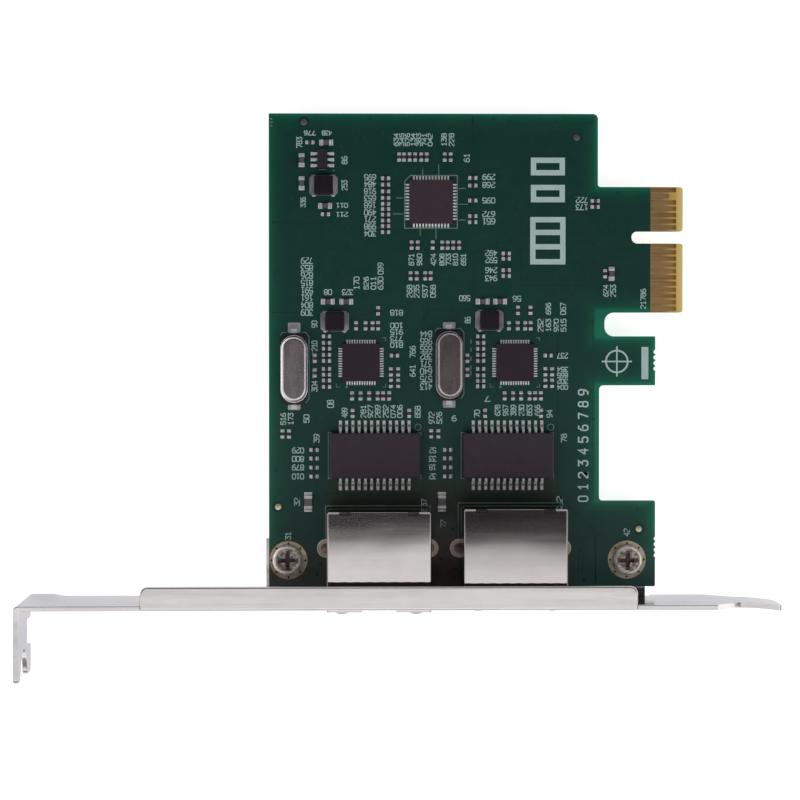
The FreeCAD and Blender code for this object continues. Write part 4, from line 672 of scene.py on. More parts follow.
# flat packages: each toe has solder running out past the body
pads, joints = Geo(), Geo()
for name in ("bridge_chip", "controller_left", "controller_right"):
    blo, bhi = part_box(name + "_body")
    cx, cy = (blo.x + bhi.x) / 2 / MM, (blo.y + bhi.y) / 2 / MM
    hx, hy = (bhi.x - blo.x) / 2 / MM, (bhi.y - blo.y) / 2 / MM
    for lo, hi in solids(name + "_leads"):
        c = (lo + hi) / 2
        if abs(c[0] - cx) / hx > abs(c[1] - cy) / hy:
            dx, dy = (1.0 if c[0] > cx else -1.0), 0.0
            x, y, half = cx + dx * hx, c[1], (hi[1] - lo[1]) / 2
        else:
            dx, dy = 0.0, (1.0 if c[1] > cy else -1.0)
            x, y, half = c[0], cy + dy * hy, (hi[0] - lo[0]) / 2
        reach = (hi[0] - cx if dx > 0 else cx - lo[0]) - hx if dx else ((hi[1] - cy if dy > 0 else cy - lo[1]) - hy)
        fillet(joints, x - dx * 0.01, y - dy * 0.01, dx, dy, half * 0.98, max(0.3, reach) * 0.96, 0.19, z=TOP + 0.06, steps=4)
piece(joints, "flat_package_solder", solder, angle=40)

# gull-wing feet of the two magnetics and the regulator, and the crystals' and coils' lands
pads, joints = Geo(), Geo()
for name, half, toe, heel in (("magnetics_left", 0.25, 0.13, 1.25), ("magnetics_right", 0.25, 0.13, 1.25)):
    blo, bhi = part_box(name + "_body")
    cy = (blo.y + bhi.y) / 2 / MM
    for lo, hi in solids(name + "_leads"):
        c = (lo + hi) / 2
        dy = 1.0 if c[1] > cy else -1.0
        end = hi[1] if dy > 0 else lo[1]
        ys = sorted((end + dy * toe, end - dy * heel))
        pads.prism([(c[0] - half, ys[0]), (c[0] + half, ys[0]), (c[0] + half, ys[1]), (c[0] - half, ys[1])], TOP - 0.02, PAD)
        w = (hi[0] - lo[0]) / 2
        fillet(joints, c[0], end - dy * 0.03, 0.0, dy, half * 0.95, toe * 0.9, 0.17)
        for s in (-1, 1):
            # a low bead of solder along each side of the foot
            rings = []
            for k in range(7):
                t = k / 6
                yy = end - dy * (0.02 + 0.78 * t)
                hgt = 0.11 * math.sin(math.pi * (0.15 + 0.8 * t)) + 0.012
                x0 = c[0] + s * w * 0.96
                x1 = c[0] + s * half * 0.97
                ring = [(x0, yy, PAD - 0.02), (x1, yy, PAD - 0.02), (x1, yy, PAD + 0.006),
                        ((x0 + x1) / 2, yy, PAD + hgt * 0.42), (x0, yy, PAD + hgt)]
                rings.append(ring if s * dy > 0 else ring[::-1])
            joints.rings(rings)
blo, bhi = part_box("regulator_body")
cx = (blo.x + bhi.x) / 2 / MM
for lo, hi in solids("regulator_leads"):
    c = (lo + hi) / 2
    dx = 1.0 if c[0] > cx else -1.0
    end = hi[0] if dx > 0 else lo[0]
    xs = sorted((end + dx * 0.22, end - dx * 0.55))
    h = (hi[1] - lo[1]) / 2 + 0.06
    pads.prism([(xs[0], c[1] - h), (xs[1], c[1] - h), (xs[1], c[1] + h), (xs[0], c[1] + h)], TOP - 0.02, PAD)
    fillet(joints, end - dx * 0.02, c[1], dx, 0.0, h * 0.92, 0.20, 0.13)
crystal_pads, crystal_joints = Geo(), Geo()
for name in ("crystal_left", "crystal_right"):
    clo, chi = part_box(name + "_base")
    cy = (clo.y + chi.y) / 2 / MM
    for lo, hi in solids(name + "_leads"):
        c = (lo + hi) / 2
        dy = 1.0 if c[1] > cy else -1.0
        end = hi[1] if dy > 0 else lo[1]
        far = {("crystal_left", 1.0): 7.42, ("crystal_left", -1.0): 6.35}.get((name, dy), 6.85)
        far = max(far, (end - cy) * dy + 0.12)
        ys = sorted((cy + dy * far, end - dy * 2.2))
        reach = cy + dy * far - end
        r = 0.12
        xs = (c[0] - 1.00, c[0] + 1.00)
        crystal_pads.prism([(xs[0] + r, ys[0]), (xs[1] - r, ys[0]), (xs[1], ys[0] + r), (xs[1], ys[1] - r), (xs[1] - r, ys[1]),
                            (xs[0] + r, ys[1]), (xs[0], ys[1] - r), (xs[0], ys[0] + r)], TOP - 0.02, PAD)
        fillet(crystal_joints, c[0], end - dy * 0.05, 0.0, dy, 0.76, max(0.10, abs(reach) - 0.06), 0.17)
        for s in (-1, 1):
            fillet(crystal_joints, c[0] + s * 0.43, end - dy * 0.45, float(s), 0.0, 0.42, 0.48, 0.17)
coil_pads, coil_joints = Geo(), Geo()
for name in ("inductor_supply", "inductor_left", "inductor_right"):
    ilo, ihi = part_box(name + "_core")
    cx, cy = (ilo.x + ihi.x) / 2 / MM, (ilo.y + ihi.y) / 2 / MM
    for lo, hi in solids(name + "_terminals"):
        dx = 1.0 if (lo[0] + hi[0]) / 2 > cx else -1.0
        end = hi[0] if dx > 0 else lo[0]
        xs = sorted((end + dx * 0.09, end - dx * 1.0))
        r = 0.5
        coil_pads.prism([(xs[0] + (r if dx < 0 else 0), lo[1] - 0.05), (xs[1] - (r if dx > 0 else 0), lo[1] - 0.05),
                    (xs[1], lo[1] - 0.05 + (r if dx > 0 else 0)), (xs[1], hi[1] + 0.05 - (r if dx > 0 else 0)),
                    (xs[1] - (r if dx > 0 else 0), hi[1] + 0.05), (xs[0] + (r if dx < 0 else 0), hi[1] + 0.05),
                    (xs[0], hi[1] + 0.05 - (r if dx < 0 else 0)), (xs[0], lo[1] - 0.05 + (r if dx < 0 else 0))],
                   TOP - 0.02, PAD)
        fillet(coil_joints, end - dx * 0.06, (lo[1] + hi[1]) / 2, dx, 0.0, (hi[1] - lo[1]) / 2 * 0.70, 0.13, 0.42)
        # solder drawn up at the corners, fuller on the bracket side
        fillet(joints, end - dx * 0.62, lo[1] + 0.10, 0.0, -1.0, 0.26, 0.26, 0.40)
        fillet(coil_joints, end - dx * 0.55, hi[1] - 0.06, 0.0, 1.0, 0.20, 0.13, 0.34)
piece(pads, "part_lands", tin)
piece(joints, "part_solder", solder, angle=40)
piece(crystal_pads, "crystal_lands", worn_tin)
piece(crystal_joints, "crystal_solder", worn_tin, angle=40)
piece(coil_pads, "coil_lands", worn_tin)
piece(coil_joints, "coil_solder", worn_tin, angle=40)

# --------------------------------------------------------------- screen print --
GLYPH = {
    "0": [([(0.12, 0), (0.48, 0), (0.6, 0.16), (0.6, 0.84), (0.48, 1), (0.12, 1), (0, 0.84), (0, 0.16)], True)],
    "1": [([(0.10, 0.78), (0.32, 1), (0.32, 0)], False), ([(0.12, 0), (0.52, 0)], False)],
    "2": [([(0, 0.82), (0.12, 1), (0.48, 1), (0.6, 0.84), (0.6, 0.62), (0, 0.10), (0, 0), (0.6, 0)], False)],
    "3": [([(0, 1), (0.6, 1), (0.26, 0.60), (0.46, 0.60), (0.6, 0.46), (0.6, 0.16), (0.48, 0), (0.12, 0), (0, 0.16)], False)],
    "4": [([(0.46, 0), (0.46, 1), (0, 0.32)], False), ([(0.02, 0.32), (0.6, 0.32)], False)],
    "5": [([(0.58, 1), (0.04, 1), (0, 0.56), (0.42, 0.60), (0.6, 0.46), (0.6, 0.16), (0.48, 0), (0.12, 0), (0, 0.14)], False)],
    "6": [([(0.52, 1), (0.26, 1), (0, 0.66), (0, 0.16), (0.12, 0), (0.48, 0), (0.6, 0.16), (0.6, 0.40), (0.48, 0.56),
            (0.06, 0.56)], False)],
    "7": [([(0, 1), (0.6, 1), (0.24, 0)], False)],
    "8": [([(0.12, 0), (0.48, 0), (0.6, 0.14), (0.6, 0.42), (0.46, 0.54), (0.14, 0.54), (0, 0.42), (0, 0.14)], True),
          ([(0.14, 0.54), (0.46, 0.54), (0.56, 0.66), (0.56, 0.88), (0.46, 1), (0.14, 1), (0.04, 0.88), (0.04, 0.66)], True)],
    "9": [([(0.08, 0), (0.34, 0), (0.6, 0.34), (0.6, 0.84), (0.48, 1), (0.12, 1), (0, 0.84), (0, 0.60), (0.12, 0.44),
            (0.54, 0.44)], False)],
}
INK0, INK1 = TOP - 0.01, TOP + 0.022


def number(g, text, x0, y0, x1, y1, turn, line, z0=INK0, z1=INK1, mirror=False):
    """Plain numerals filling a box, read with the page turned by `turn` degrees."""
    cx, cy = (x0 + x1) / 2, (y0 + y1) / 2
    W, H = (x1 - x0, y1 - y0) if turn % 180 == 0 else (y1 - y0, x1 - x0)
    W, H = W - line, H - line
    step = W / len(text)
    gw = step * (0.80 if len(text) > 1 else 1.0)
    a = math.radians(turn)
    ca, sa = math.cos(a), math.sin(a)
    for i, ch in enumerate(text):
        ox = -W / 2 + i * step + (step - gw) / 2
        for lift, (path, closed) in enumerate(GLYPH[ch]):
            pts = []
            for u, v in path:
                px, py = ox + u / 0.6 * gw, -H / 2 + v * H
                if mirror:
                    px = -px
                pts.append((cx + px * ca - py * sa, cy + px * sa + py * ca))
            up = 0.002 * lift if z1 > z0 and z1 > TOP - 1 else 0.0
            g.ribbon(pts, line, z0, z1 + up, closed=closed, ends=3)


class Seq:
    """A fixed run of plain numbers."""

    def __init__(self, s):
        self.s = s

    def take(self, n):
        out = ""
        while len(out) < n:
            self.s = (self.s * 1103515245 + 12345) % 2147483648
            out += str((self.s >> 12) % 10)
        return out

    def real(self, a, b):
        self.s = (self.s * 1103515245 + 12345) % 2147483648
        return a + (b - a) * ((self.s >> 8) % 65536) / 65536.0


LABELS = [
    (-15.27, 41.27, -13.18, 42.07, 3, 180), (-12.38, 41.27, -10.62, 42.07, 3, 180),
    (-10.14, 29.72, -8.05, 30.53, 3, 180), (-10.14, 28.28, -8.05, 29.08, 3, 180),
    (13.28, 34.21, 15.53, 35.18, 3, 180), (13.28, 32.93, 15.53, 33.89, 3, 180),
    (13.28, 30.45, 15.53, 31.41, 3, 180), (13.28, 28.28, 15.53, 29.24, 3, 180),
    (13.28, 27.08, 15.53, 28.12, 3, 180), (13.76, 22.03, 15.85, 22.99, 3, 180),
    (13.76, 20.9, 15.85, 21.87, 3, 180), (13.76, 19.3, 15.85, 20.26, 3, 180),
    (13.76, 18.02, 15.85, 18.98, 3, 180), (28.28, 30.53, 30.44, 31.49, 3, 180),
    (28.28, 29.4, 30.44, 30.37, 3, 180), (-12.06, 15.77, -10.62, 16.73, 2, 180),
    (-9.17, 15.77, -7.25, 16.73, 3, 180), (-1.47, 12.48, 0.77, 13.44, 3, 180),
    (9.59, 14.81, 11.52, 15.77, 3, 180), (18.17, 14.73, 19.7, 15.69, 2, 180),
    (25.31, 5.59, 27.23, 6.55, 3, 180), (-17.19, -9.57, -15.11, -8.61, 3, 180),
    (-17.19, -10.93, -15.11, -9.97, 3, 180), (-17.19, -12.3, -15.11, -11.33, 3, 180),
    (-17.19, -13.74, -15.11, -12.78, 3, 180), (4.78, -9.57, 6.06, -8.61, 2, 180),
    (4.78, -10.93, 6.06, -9.97, 2, 180), (4.78, -12.3, 6.06, -11.33, 2, 180),
    (4.78, -13.74, 6.06, -12.78, 2, 180), (13.76, -1.31, 14.72, -0.35, 1, 180),
    (8.47, -4.44, 9.27, -3.48, 1, 180), (-5.64, 34.12, -3.56, 35.11, 3, 180),
    (-5.64, 33.0, -3.56, 33.99, 3, 180), (-5.64, 31.87, -3.56, 32.87, 3, 180),
    (-5.64, 30.75, -3.56, 31.74, 3, 180), (-5.64, 29.63, -3.56, 30.62, 3, 180),
    (-5.64, 28.5, -3.56, 29.5, 3, 180), (-5.64, 27.38, -3.56, 28.38, 3, 180),
    (-5.64, 26.26, -3.56, 27.25, 3, 180), (-5.64, 25.14, -3.56, 26.13, 3, 180),
    (-15.75, 20.75, -13.66, 21.8, 3, 180), (-15.75, 19.56, -13.66, 20.62, 3, 180),
    (-15.75, 18.38, -13.66, 19.44, 3, 180), (-15.75, 17.2, -13.66, 18.25, 3, 180),
    (-15.75, 16.02, -13.66, 17.07, 3, 180), (-15.75, 14.83, -13.66, 15.89, 3, 180),
    (-15.75, 13.65, -13.66, 14.7, 3, 180), (-15.75, 12.47, -13.66, 13.52, 3, 180),
    (-1.47, 10.46, 0.77, 11.38, 3, 180), (-1.47, 9.42, 0.77, 10.33, 3, 180),
    (-1.47, 8.38, 0.77, 9.29, 3, 180), (-1.47, 7.33, 0.77, 8.25, 3, 180), (3.34, 9.02, 5.42, 10.09, 3, 180),
    (3.34, 7.82, 5.42, 8.89, 3, 180), (3.34, 6.61, 5.42, 7.69, 3, 180), (3.34, 5.41, 5.42, 6.48, 3, 180),
    (3.34, 4.21, 5.42, 5.28, 3, 180), (3.34, 3.0, 5.42, 4.08, 3, 180), (3.34, 1.8, 5.42, 2.88, 3, 180),
    (3.34, 0.6, 5.42, 1.67, 3, 180), (25.31, 3.48, 27.23, 4.32, 3, 180), (25.31, 2.52, 27.23, 3.36, 3, 180),
    (25.31, 1.56, 27.23, 2.39, 3, 180), (25.31, 0.6, 27.23, 1.43, 3, 180),
    (-16.39, 39.19, -15.43, 41.11, 3, 90), (-15.75, 29.72, -14.87, 31.49, 3, 90),
    (-9.17, 36.62, -8.21, 38.06, 2, 90), (-9.17, 32.45, -8.21, 34.21, 3, 90),
    (-0.83, 39.51, -0.03, 41.75, 3, 90), (0.07, 39.51, 0.88, 41.75, 3, 90), (0.98, 39.51, 1.78, 41.75, 3, 90),
    (1.89, 39.51, 2.69, 41.75, 3, 90), (2.79, 39.51, 3.59, 41.75, 3, 90), (3.7, 39.51, 4.5, 41.75, 3, 90),
    (4.6, 39.51, 5.41, 41.75, 3, 90), (6.79, 39.51, 7.67, 41.75, 3, 90), (7.99, 39.51, 8.87, 41.75, 3, 90),
    (10.39, 36.94, 11.36, 38.55, 2, 90), (1.57, 20.42, 2.47, 22.51, 3, 90), (2.86, 20.42, 3.75, 22.51, 3, 90),
    (5.1, 20.42, 6.0, 22.51, 3, 90), (6.48, 20.42, 7.31, 22.51, 3, 90), (7.51, 20.42, 8.37, 22.51, 3, 90),
    (8.63, 20.42, 9.5, 22.51, 3, 90), (9.91, 20.42, 10.78, 22.51, 3, 90), (1.25, 15.29, 2.18, 17.53, 3, 90),
    (2.38, 15.29, 3.31, 17.53, 3, 90), (3.74, 15.29, 4.65, 17.53, 3, 90), (5.02, 15.29, 5.94, 17.53, 3, 90),
    (-7.25, 16.57, -6.29, 18.82, 3, 90), (-5.64, 16.57, -4.81, 18.82, 3, 90),
    (-4.52, 16.57, -3.62, 18.82, 3, 90), (-3.4, 16.57, -2.47, 18.82, 3, 90),
    (-3.4, 18.98, -2.44, 21.06, 3, 90), (-13.98, 10.48, -13.02, 11.76, 2, 90),
    (-13.98, 6.79, -13.02, 8.55, 3, 90), (-13.98, 0.21, -13.02, 2.14, 3, 90), (1.73, 5.67, 2.7, 7.75, 3, 90),
    (1.73, 2.62, 2.7, 4.7, 3, 90), (10.55, 11.2, 11.52, 12.4, 2, 90), (22.26, 9.84, 23.19, 12.08, 3, 90),
    (23.55, 9.84, 24.41, 12.08, 3, 90), (24.83, 9.84, 25.66, 12.08, 3, 90),
    (25.95, 9.84, 26.88, 12.08, 3, 90), (23.55, 12.56, 24.41, 14.65, 3, 90),
    (25.87, 12.56, 26.83, 14.65, 3, 90), (32.77, 15.45, 33.65, 17.53, 3, 90),
    (33.89, 15.45, 34.85, 17.53, 3, 90), (38.78, 13.53, 39.68, 16.89, 5, 90),
    (-11.5, -2.35, -10.38, -0.91, 2, 90), (-9.17, -3.96, -8.21, -2.19, 3, 90),
    (-6.13, -3.96, -5.23, -1.71, 3, 90), (-5.0, -3.96, -4.14, -1.71, 3, 90),
    (-3.85, -3.96, -2.92, -1.71, 3, 90), (-2.56, -3.96, -1.63, -1.71, 3, 90),
    (-1.35, -3.96, -0.48, -1.71, 3, 90), (-0.26, -3.96, 0.61, -1.71, 3, 90), (2.54, -3.96, 3.5, -1.87, 3, 90),
    (12.08, -3.96, 13.04, -2.51, 2, 90), (15.37, -3.64, 16.3, -1.71, 3, 90),
    (16.65, -3.64, 17.58, -1.71, 3, 90), (17.93, -3.64, 18.86, -1.71, 3, 90),
    (19.22, -3.64, 20.15, -1.71, 3, 90), (20.5, -3.64, 21.43, -1.71, 3, 90),
    (21.78, -3.64, 22.71, -1.71, 3, 90), (23.71, -3.96, 24.67, -2.51, 2, 90),
    (-18.96, -5.08, -18.06, -2.99, 3, 90), (-17.77, -5.08, -16.87, -2.99, 3, 90),
    (-15.27, -4.76, -14.31, -3.24, 2, 90), (-13.66, -7.97, -12.7, -6.36, 2, 90),
    (4.78, -4.92, 5.74, -2.83, 3, 90), (6.03, -4.92, 6.96, -2.83, 3, 90), (26.03, -7.97, 26.99, -6.36, 2, 90),
    (-16.79, -18.07, -15.83, -16.63, 2, 90), (6.63, -21.6, 7.59, -20.16, 2, 90),
    (3.58, -18.23, 4.54, -16.79, 2, 90), (25.31, -17.43, 26.27, -16.47, 1, 90),
    (-18.23, -23.52, -17.27, -22.08, 2, 90), (36.14, -23.04, 37.1, -21.6, 2, 90),
]
seq = Seq(90210)
print_geo = Geo()
for x0, y0, x1, y1, n, turn in LABELS:
    number(print_geo, seq.take(n), x0, y0, x1, y1, turn, 0.145)
piece(print_geo, "screen_print_numbers", ink_small)

g = Geo()
L = 0.15


def line(*pts, w=L, closed=False):
    g.ribbon(pts, w, INK0, INK1, closed=closed, ends=3)


# outline and pin counters of the bridge chip
lo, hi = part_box("bridge_chip_body")
cx, cy = (lo.x + hi.x) / 2 / MM, (lo.y + hi.y) / 2 / MM
h = 4.22
line((cx - h, cy - h), (cx + h, cy - h), (cx + h, cy + h), (cx - h + 0.95, cy + h), (cx - h, cy + h - 0.95), closed=True)
for x, y0, y1 in ((cx - 1.33, h + 0.15, h + 1.05), (cx + 1.23, h + 0.15, h + 1.75), (cx - 1.73, -h - 0.15, -h - 1.15),
                  (cx + 0.80, -h - 0.15, -h - 1.75)):
    line((x, cy + y0), (x, cy + y1), w=0.12)
for y, x0, x1 in ((0.64, -h - 0.25, -h - 1.35), (-1.93, -h - 0.25, -h - 1.85), (2.16, h + 0.25, h + 1.25),
                  (-0.37, h + 0.25, h + 1.65), (-2.89, h + 0.25, h + 1.3)):
    line((cx + x0, cy + y), (cx + x1, cy + y), w=0.12)
# corner marks of the two controllers
for name in ("controller_left", "controller_right"):
    lo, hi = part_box(name + "_body")
    cx, cy = (lo.x + hi.x) / 2 / MM, (lo.y + hi.y) / 2 / MM
    h = 3.95
    for sx, sy in ((-1, -1), (1, -1), (1, 1)):
        line((cx + sx * h, cy + sy * (h - 0.5)), (cx + sx * h, cy + sy * h), (cx + sx * (h - 0.5), cy + sy * h), w=0.09)
    g.disc(cx - 2.30, cy - 3.92, 0.20, INK0, INK1, 10)
# magnetics: end line, outline feet and first-pin ring
for name in ("magnetics_left", "magnetics_right"):
    lo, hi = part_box(name + "_body")
    x0, x1, y0, y1 = lo.x / MM, hi.x / MM, lo.y / MM, hi.y / MM
    line((x0 + 0.35, y0 - 0.12), (x0 - 0.22, y0 - 0.12), (x0 - 0.22, y1 + 0.06), (x0 + 0.35, y1 + 0.06), w=0.14)
    line((x1 - 0.35, y0 - 0.12), (x1 + 0.20, y0 - 0.12), (x1 + 0.20, y0 + 0.55), w=0.10)
    line((x1 - 0.35, y1 + 0.06), (x1 + 0.20, y1 + 0.06), (x1 + 0.20, y1 - 0.35), w=0.10)
    a = [(x1 - 0.28 + 0.50 * math.cos(t * math.pi / 8), y1 + 0.92 + 0.50 * math.sin(t * math.pi / 8)) for t in range(16)]
    g.ribbon(a, 0.13, INK0, INK1, closed=True)
# crystals: outline beside the can
for name in ("crystal_left", "crystal_right"):
    lo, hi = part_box(name + "_can")
    x0, x1, y0, y1 = lo.x / MM, hi.x / MM, lo.y / MM, hi.y / MM
    line((x1 - 0.95, y1 + 0.42), (x1 - 0.30, y1 + 0.42), (x1 + 0.20, y1 - 0.25), (x1 + 0.20, y0 + 0.75), (x1 - 0.25, y0 + 0.05), w=0.13)
    line((x0 + 0.95, y1 + 0.42), (x0 + 0.30, y1 + 0.42), (x0 - 0.05, y1 - 0.05), w=0.13)
# coils: brackets over and under the core
for name in ("inductor_supply", "inductor_left", "inductor_right"):
    lo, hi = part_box(name + "_terminals")
    x0, x1, y0, y1 = lo.x / MM, hi.x / MM, lo.y / MM, hi.y / MM
    for s, y in ((1, y1), (-1, y0)):
        line((x0 + 1.15, y - s * 0.06), (x1 - 1.15, y - s * 0.06), w=0.07)
# regulator
lo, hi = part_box("regulator_body")
x0, x1, y0, y1 = lo.x / MM, hi.x / MM, lo.y / MM, hi.y / MM
line((x0 + 0.25, y0 - 0.12), (x1 - 0.25, y0 - 0.12), w=0.10)
line((x0 + 0.25, y1 + 0.12), (x1 - 0.25, y1 + 0.12), w=0.10)
g.disc(x1 + 1.0, y0 - 0.25, 0.14, INK0, INK1, 10)
# outlines of the jacks
for name in ("port_left", "port_right"):
    lo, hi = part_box(name + "_shield")
    x0, x1, y1 = lo.x / MM - 0.24, hi.x / MM + 0.24, hi.y / MM + 0.24
    line((x0, y1 - 6.0), (x0, y1), (x1, y1), (x1, y1 - 6.0), w=0.15)
# short bars between the part numbers beside the crystals
for x, y in ((-13.80, 6.45), (-13.80, 5.45), (-13.80, 3.55), (-13.80, 2.75), (11.55, 8.35), (11.55, 7.05), (11.55, 5.60), (11.55, 4.20), (11.55, 3.30)):
    line((x, y - 0.30), (x, y + 0.30), w=0.16)
# marks by the corner of the card
for y, dx in ((43.93, -0.05), (43.38, 0.02), (42.80, -0.03)):
    g.prism([(-20.47 + dx, y - 0.13), (-20.21 + dx, y - 0.13), (-20.21 + dx, y + 0.13), (-20.47 + dx, y + 0.13)], INK0, INK1)
piece(g, "screen_print_outlines", ink_faint)
g = Geo()


def frame_of(x0, x1, y0, y1, w, bars=()):
    """Printed frame; its rails meet without overlapping."""
    for a, b, c, d in ((x0, x1, y0, y0 + w), (x0, x1, y1 - w, y1), (x0, x0 + w, y0 + w, y1 - w), (x1 - w, x1, y0 + w, y1 - w)):
        g.prism([(a, c), (b, c), (b, d), (a, d)], INK0, INK1)
    for c in bars:
        g.prism([(x0 + w, c), (x1 - w, c), (x1 - w, c + w), (x0 + w, c + w)], INK0, INK1)


# write-on fields: three plain frames
frame_of(21.15, 26.62, 34.95, 37.80, 0.86)
frame_of(21.15, 26.62, 30.65, 33.45, 0.86)
frame_of(21.05, 26.72, 20.70, 28.30, 0.86, bars=(23.1, 25.4))
# registration target and bar on the upper tab
tx, ty = 35.0, 5.15
ringpts = [(tx + 1.75 * math.cos(t * math.pi / 16), ty + 1.75 * math.sin(t * math.pi / 16)) for t in range(32)]
g.ribbon(ringpts, 0.28, INK0, INK1, closed=True)
g.ribbon([(tx - 2.35, ty), (tx + 2.35, ty)], 0.24, INK0, INK1 + 0.002, ends=3)
g.ribbon([(tx, ty - 2.35), (tx, ty + 2.35)], 0.24, INK0, INK1 + 0.004, ends=3)
g.prism([(38.96, 2.30), (40.08, 2.30), (40.08, 7.48), (38.96, 7.48)], INK0, INK1)
# plain count beside the cut-out
for i, ch in enumerate("0123456789"):
    y = -16.9 + 1.90 * i
    number(g, ch, 28.75, y - 0.52, 30.45, y + 0.52, 90, 0.24)
piece(g, "screen_print_large", ink)

# ----------------------------------------------------------- targets and vias --
g = Geo()
for x, y, r in ((-15.19, 43.40, 0.52), (28.52, 41.03, 0.52)):
    g.lathe(x, y, [(r, TOP - 0.01), (r, TOP + 0.020), (r - 0.03, TOP + 0.03)], 28)
piece(g, "alignment_targets_upper", dull_copper, angle=30)
g = Geo()
for x, y, r in ((-19.33, -18.12, 0.50), (38.56, -21.76, 0.50)):
    g.lathe(x, y, [(r, TOP - 0.01), (r, TOP + 0.020), (r - 0.03, TOP + 0.03)], 28)
piece(g, "alignment_targets_lower", gold_target, angle=30)
g = Geo()
for x, y in ((-15.19, 43.40), (28.52, 41.03), (-19.33, -18.12), (38.56, -21.76)):
    g.ring(x, y, 0.53, 0.92, TOP - 0.008, TOP + 0.004, 32)
piece(g, "alignment_target_clearings", gap_mat)

# stitching vias round the two fixing screws
g, g2 = Geo(), Geo()
for name in ("bracket_screw_left", "bracket_screw_right"):
    lo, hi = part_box(name)
    cx, cy = (lo.x + hi.x) / 2 / MM, (lo.y + hi.y) / 2 / MM
    if name.endswith("left"):
        cx, cy = cx + 0.11, cy - 0.09
    for k in range(8):
        a = 2 * math.pi * k / 8
        # painted shade: a dark disc over each via stands in for the shade inside its open hole
        g.lathe(cx + 2.70 * math.cos(a), cy + 2.70 * math.sin(a), [(0.17, TOP + 0.02), (0.17, TOP + 0.046)], 14)
piece(g, "land_via_mouths", hole_mat)

# shield tabs: solder drawn up into the plated hole, and the tinned rim of each land
g, g2 = Geo(), Geo()
for name in ("port_left", "port_right"):
    lo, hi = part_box(name + "_shield")
    jx = (lo.x + hi.x) / 2 / MM
    for s in (-1, 1):
        x, y = jx + s * 8.25, -24.80
        g.lathe(x, y, [(0.845, TOP - 0.40), (0.845, TOP + 0.020), (0.72, TOP + 0.035), (0.50, TOP + 0.060), (0.28, TOP + 0.110), (0.10, TOP + 0.140)], 28)
        g2.ring(x, y, 1.36, 1.49, TOP + 0.03, TOP + 0.052, 40)
piece(g, "shield_tab_solder", fluxed, angle=50)
piece(g2, "shield_tab_land_rims", tin, angle=50)
# dark strip laid on the front of each jack's roof, under the bracket's flange: painted shade standing in for the
# flange's shadow and its dark reflection in the roof
g = Geo()
for name in ("port_left", "port_right"):
    lo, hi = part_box(name + "_shield")
    x0, x1, zt = lo.x / MM + 0.16, hi.x / MM - 0.16, hi.z / MM
    y0, y1 = -32.30, -29.10 if name == "port_left" else -29.32
    n = 24
    rings = []
    for k in range(n + 1):
        x = x0 + (x1 - x0) * k / n
        w = 0.03 * math.sin(2.1 * k) * (0 < k < n)
        rings.append([(x, y0, zt - 0.01), (x, y0, zt + 0.10), (x, y1 - 0.14, zt + 0.10), (x, y1 + w, zt + 0.045), (x, y1 + w, zt - 0.01)])
    g.rings(rings)
piece(g, "jack_roof_shade_strips", roof_shade_strip_mat, angle=30)

# keep-outs for tracks and vias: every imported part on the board
KEEP = []
for nm in nodes:
    if nm in ("circuit_board", "mounting_bracket", "plated_lands", "edge_contacts_component_side", "edge_contacts_solder_side"):
        continue
    for lo, hi in (solids(nm) if nm.startswith(("small", "medium", "large")) else [tuple(np.array(v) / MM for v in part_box(nm))]):
        KEEP.append((lo[0] - 0.55, lo[1] - 0.55, hi[0] + 0.55, hi[1] + 0.55))
for x0, y0, x1, y1, n, turn in LABELS:
    KEEP.append((x0 - 0.25, y0 - 0.25, x1 + 0.25, y1 + 0.25))
KEEP += [(20.6, 20.3, 27.0, 38.4), (32.4, 2.5, 40.9, 7.7), (28.5, -18.3, 30.8, 1.6), (-16.4, 42.2, -14.0, 44.8), (27.3, 39.8, 29.8, 42.3)]
for cx, cy in ((-17.70, -26.70), (36.66, -26.70)):
    KEEP.append((cx - 3.6, cy - 3.6, cx + 3.6, cy + 3.6))


def free(x, y, keep=KEEP, m=0.0):
    return not any(a - m < x < c + m and b - m < y < d + m for a, b, c, d in keep)


def on_board(x, y, m=0.7):
    if -20.80 + m < x < 32.1 - m and -31.0 + m < y < 44.8 - m:
        return True
    if 31 < x < 39.9 - m and 13.3 + m < y < 33.0 - m and not (x > 33.0 - m and y < 13.3):
        return True
    return (31 < x < 41.1 - m) and ((1.31 + m < y < 9.19 - m) or (-31 + m < y < -17.24 - m))


vias = []
tries = 0
while len(vias) < 150 and tries < 6000:
    tries += 1
    x, y = round(seq.real(-20, 40), 2), round(seq.real(-30, 44), 2)
    if on_board(x, y) and free(x, y) and all((x - a) ** 2 + (y - b) ** 2 > 1.7 for a, b in vias):
        vias.append((x, y))
g, g2, g3 = Geo(), Geo(), Geo()
for x, y in vias:
    g.lathe(x, y, [(0.30, TOP - 0.01), (0.29, TOP + 0.010), (0.20, TOP + 0.016), (0.11, TOP + 0.004)], 16)
    g2.lathe(x, y, [(0.11, BOTTOM - 0.004), (0.20, BOTTOM - 0.016), (0.29, BOTTOM - 0.010), (0.30, BOTTOM + 0.01)], 16)
piece(g, "tented_vias_component_side", trace_mat, angle=50)
piece(g2, "tented_vias_solder_side", trace_mat, angle=50)

# --------------------------------------------------------------------- tracks --
T0, T1 = TOP - 0.01, TOP + 0.012
g = Geo()


def track(pts, w=0.15, geo=None, z0=T0, z1=T1):
    (geo or g).ribbon(pts, w, z0, z1, ends=3)


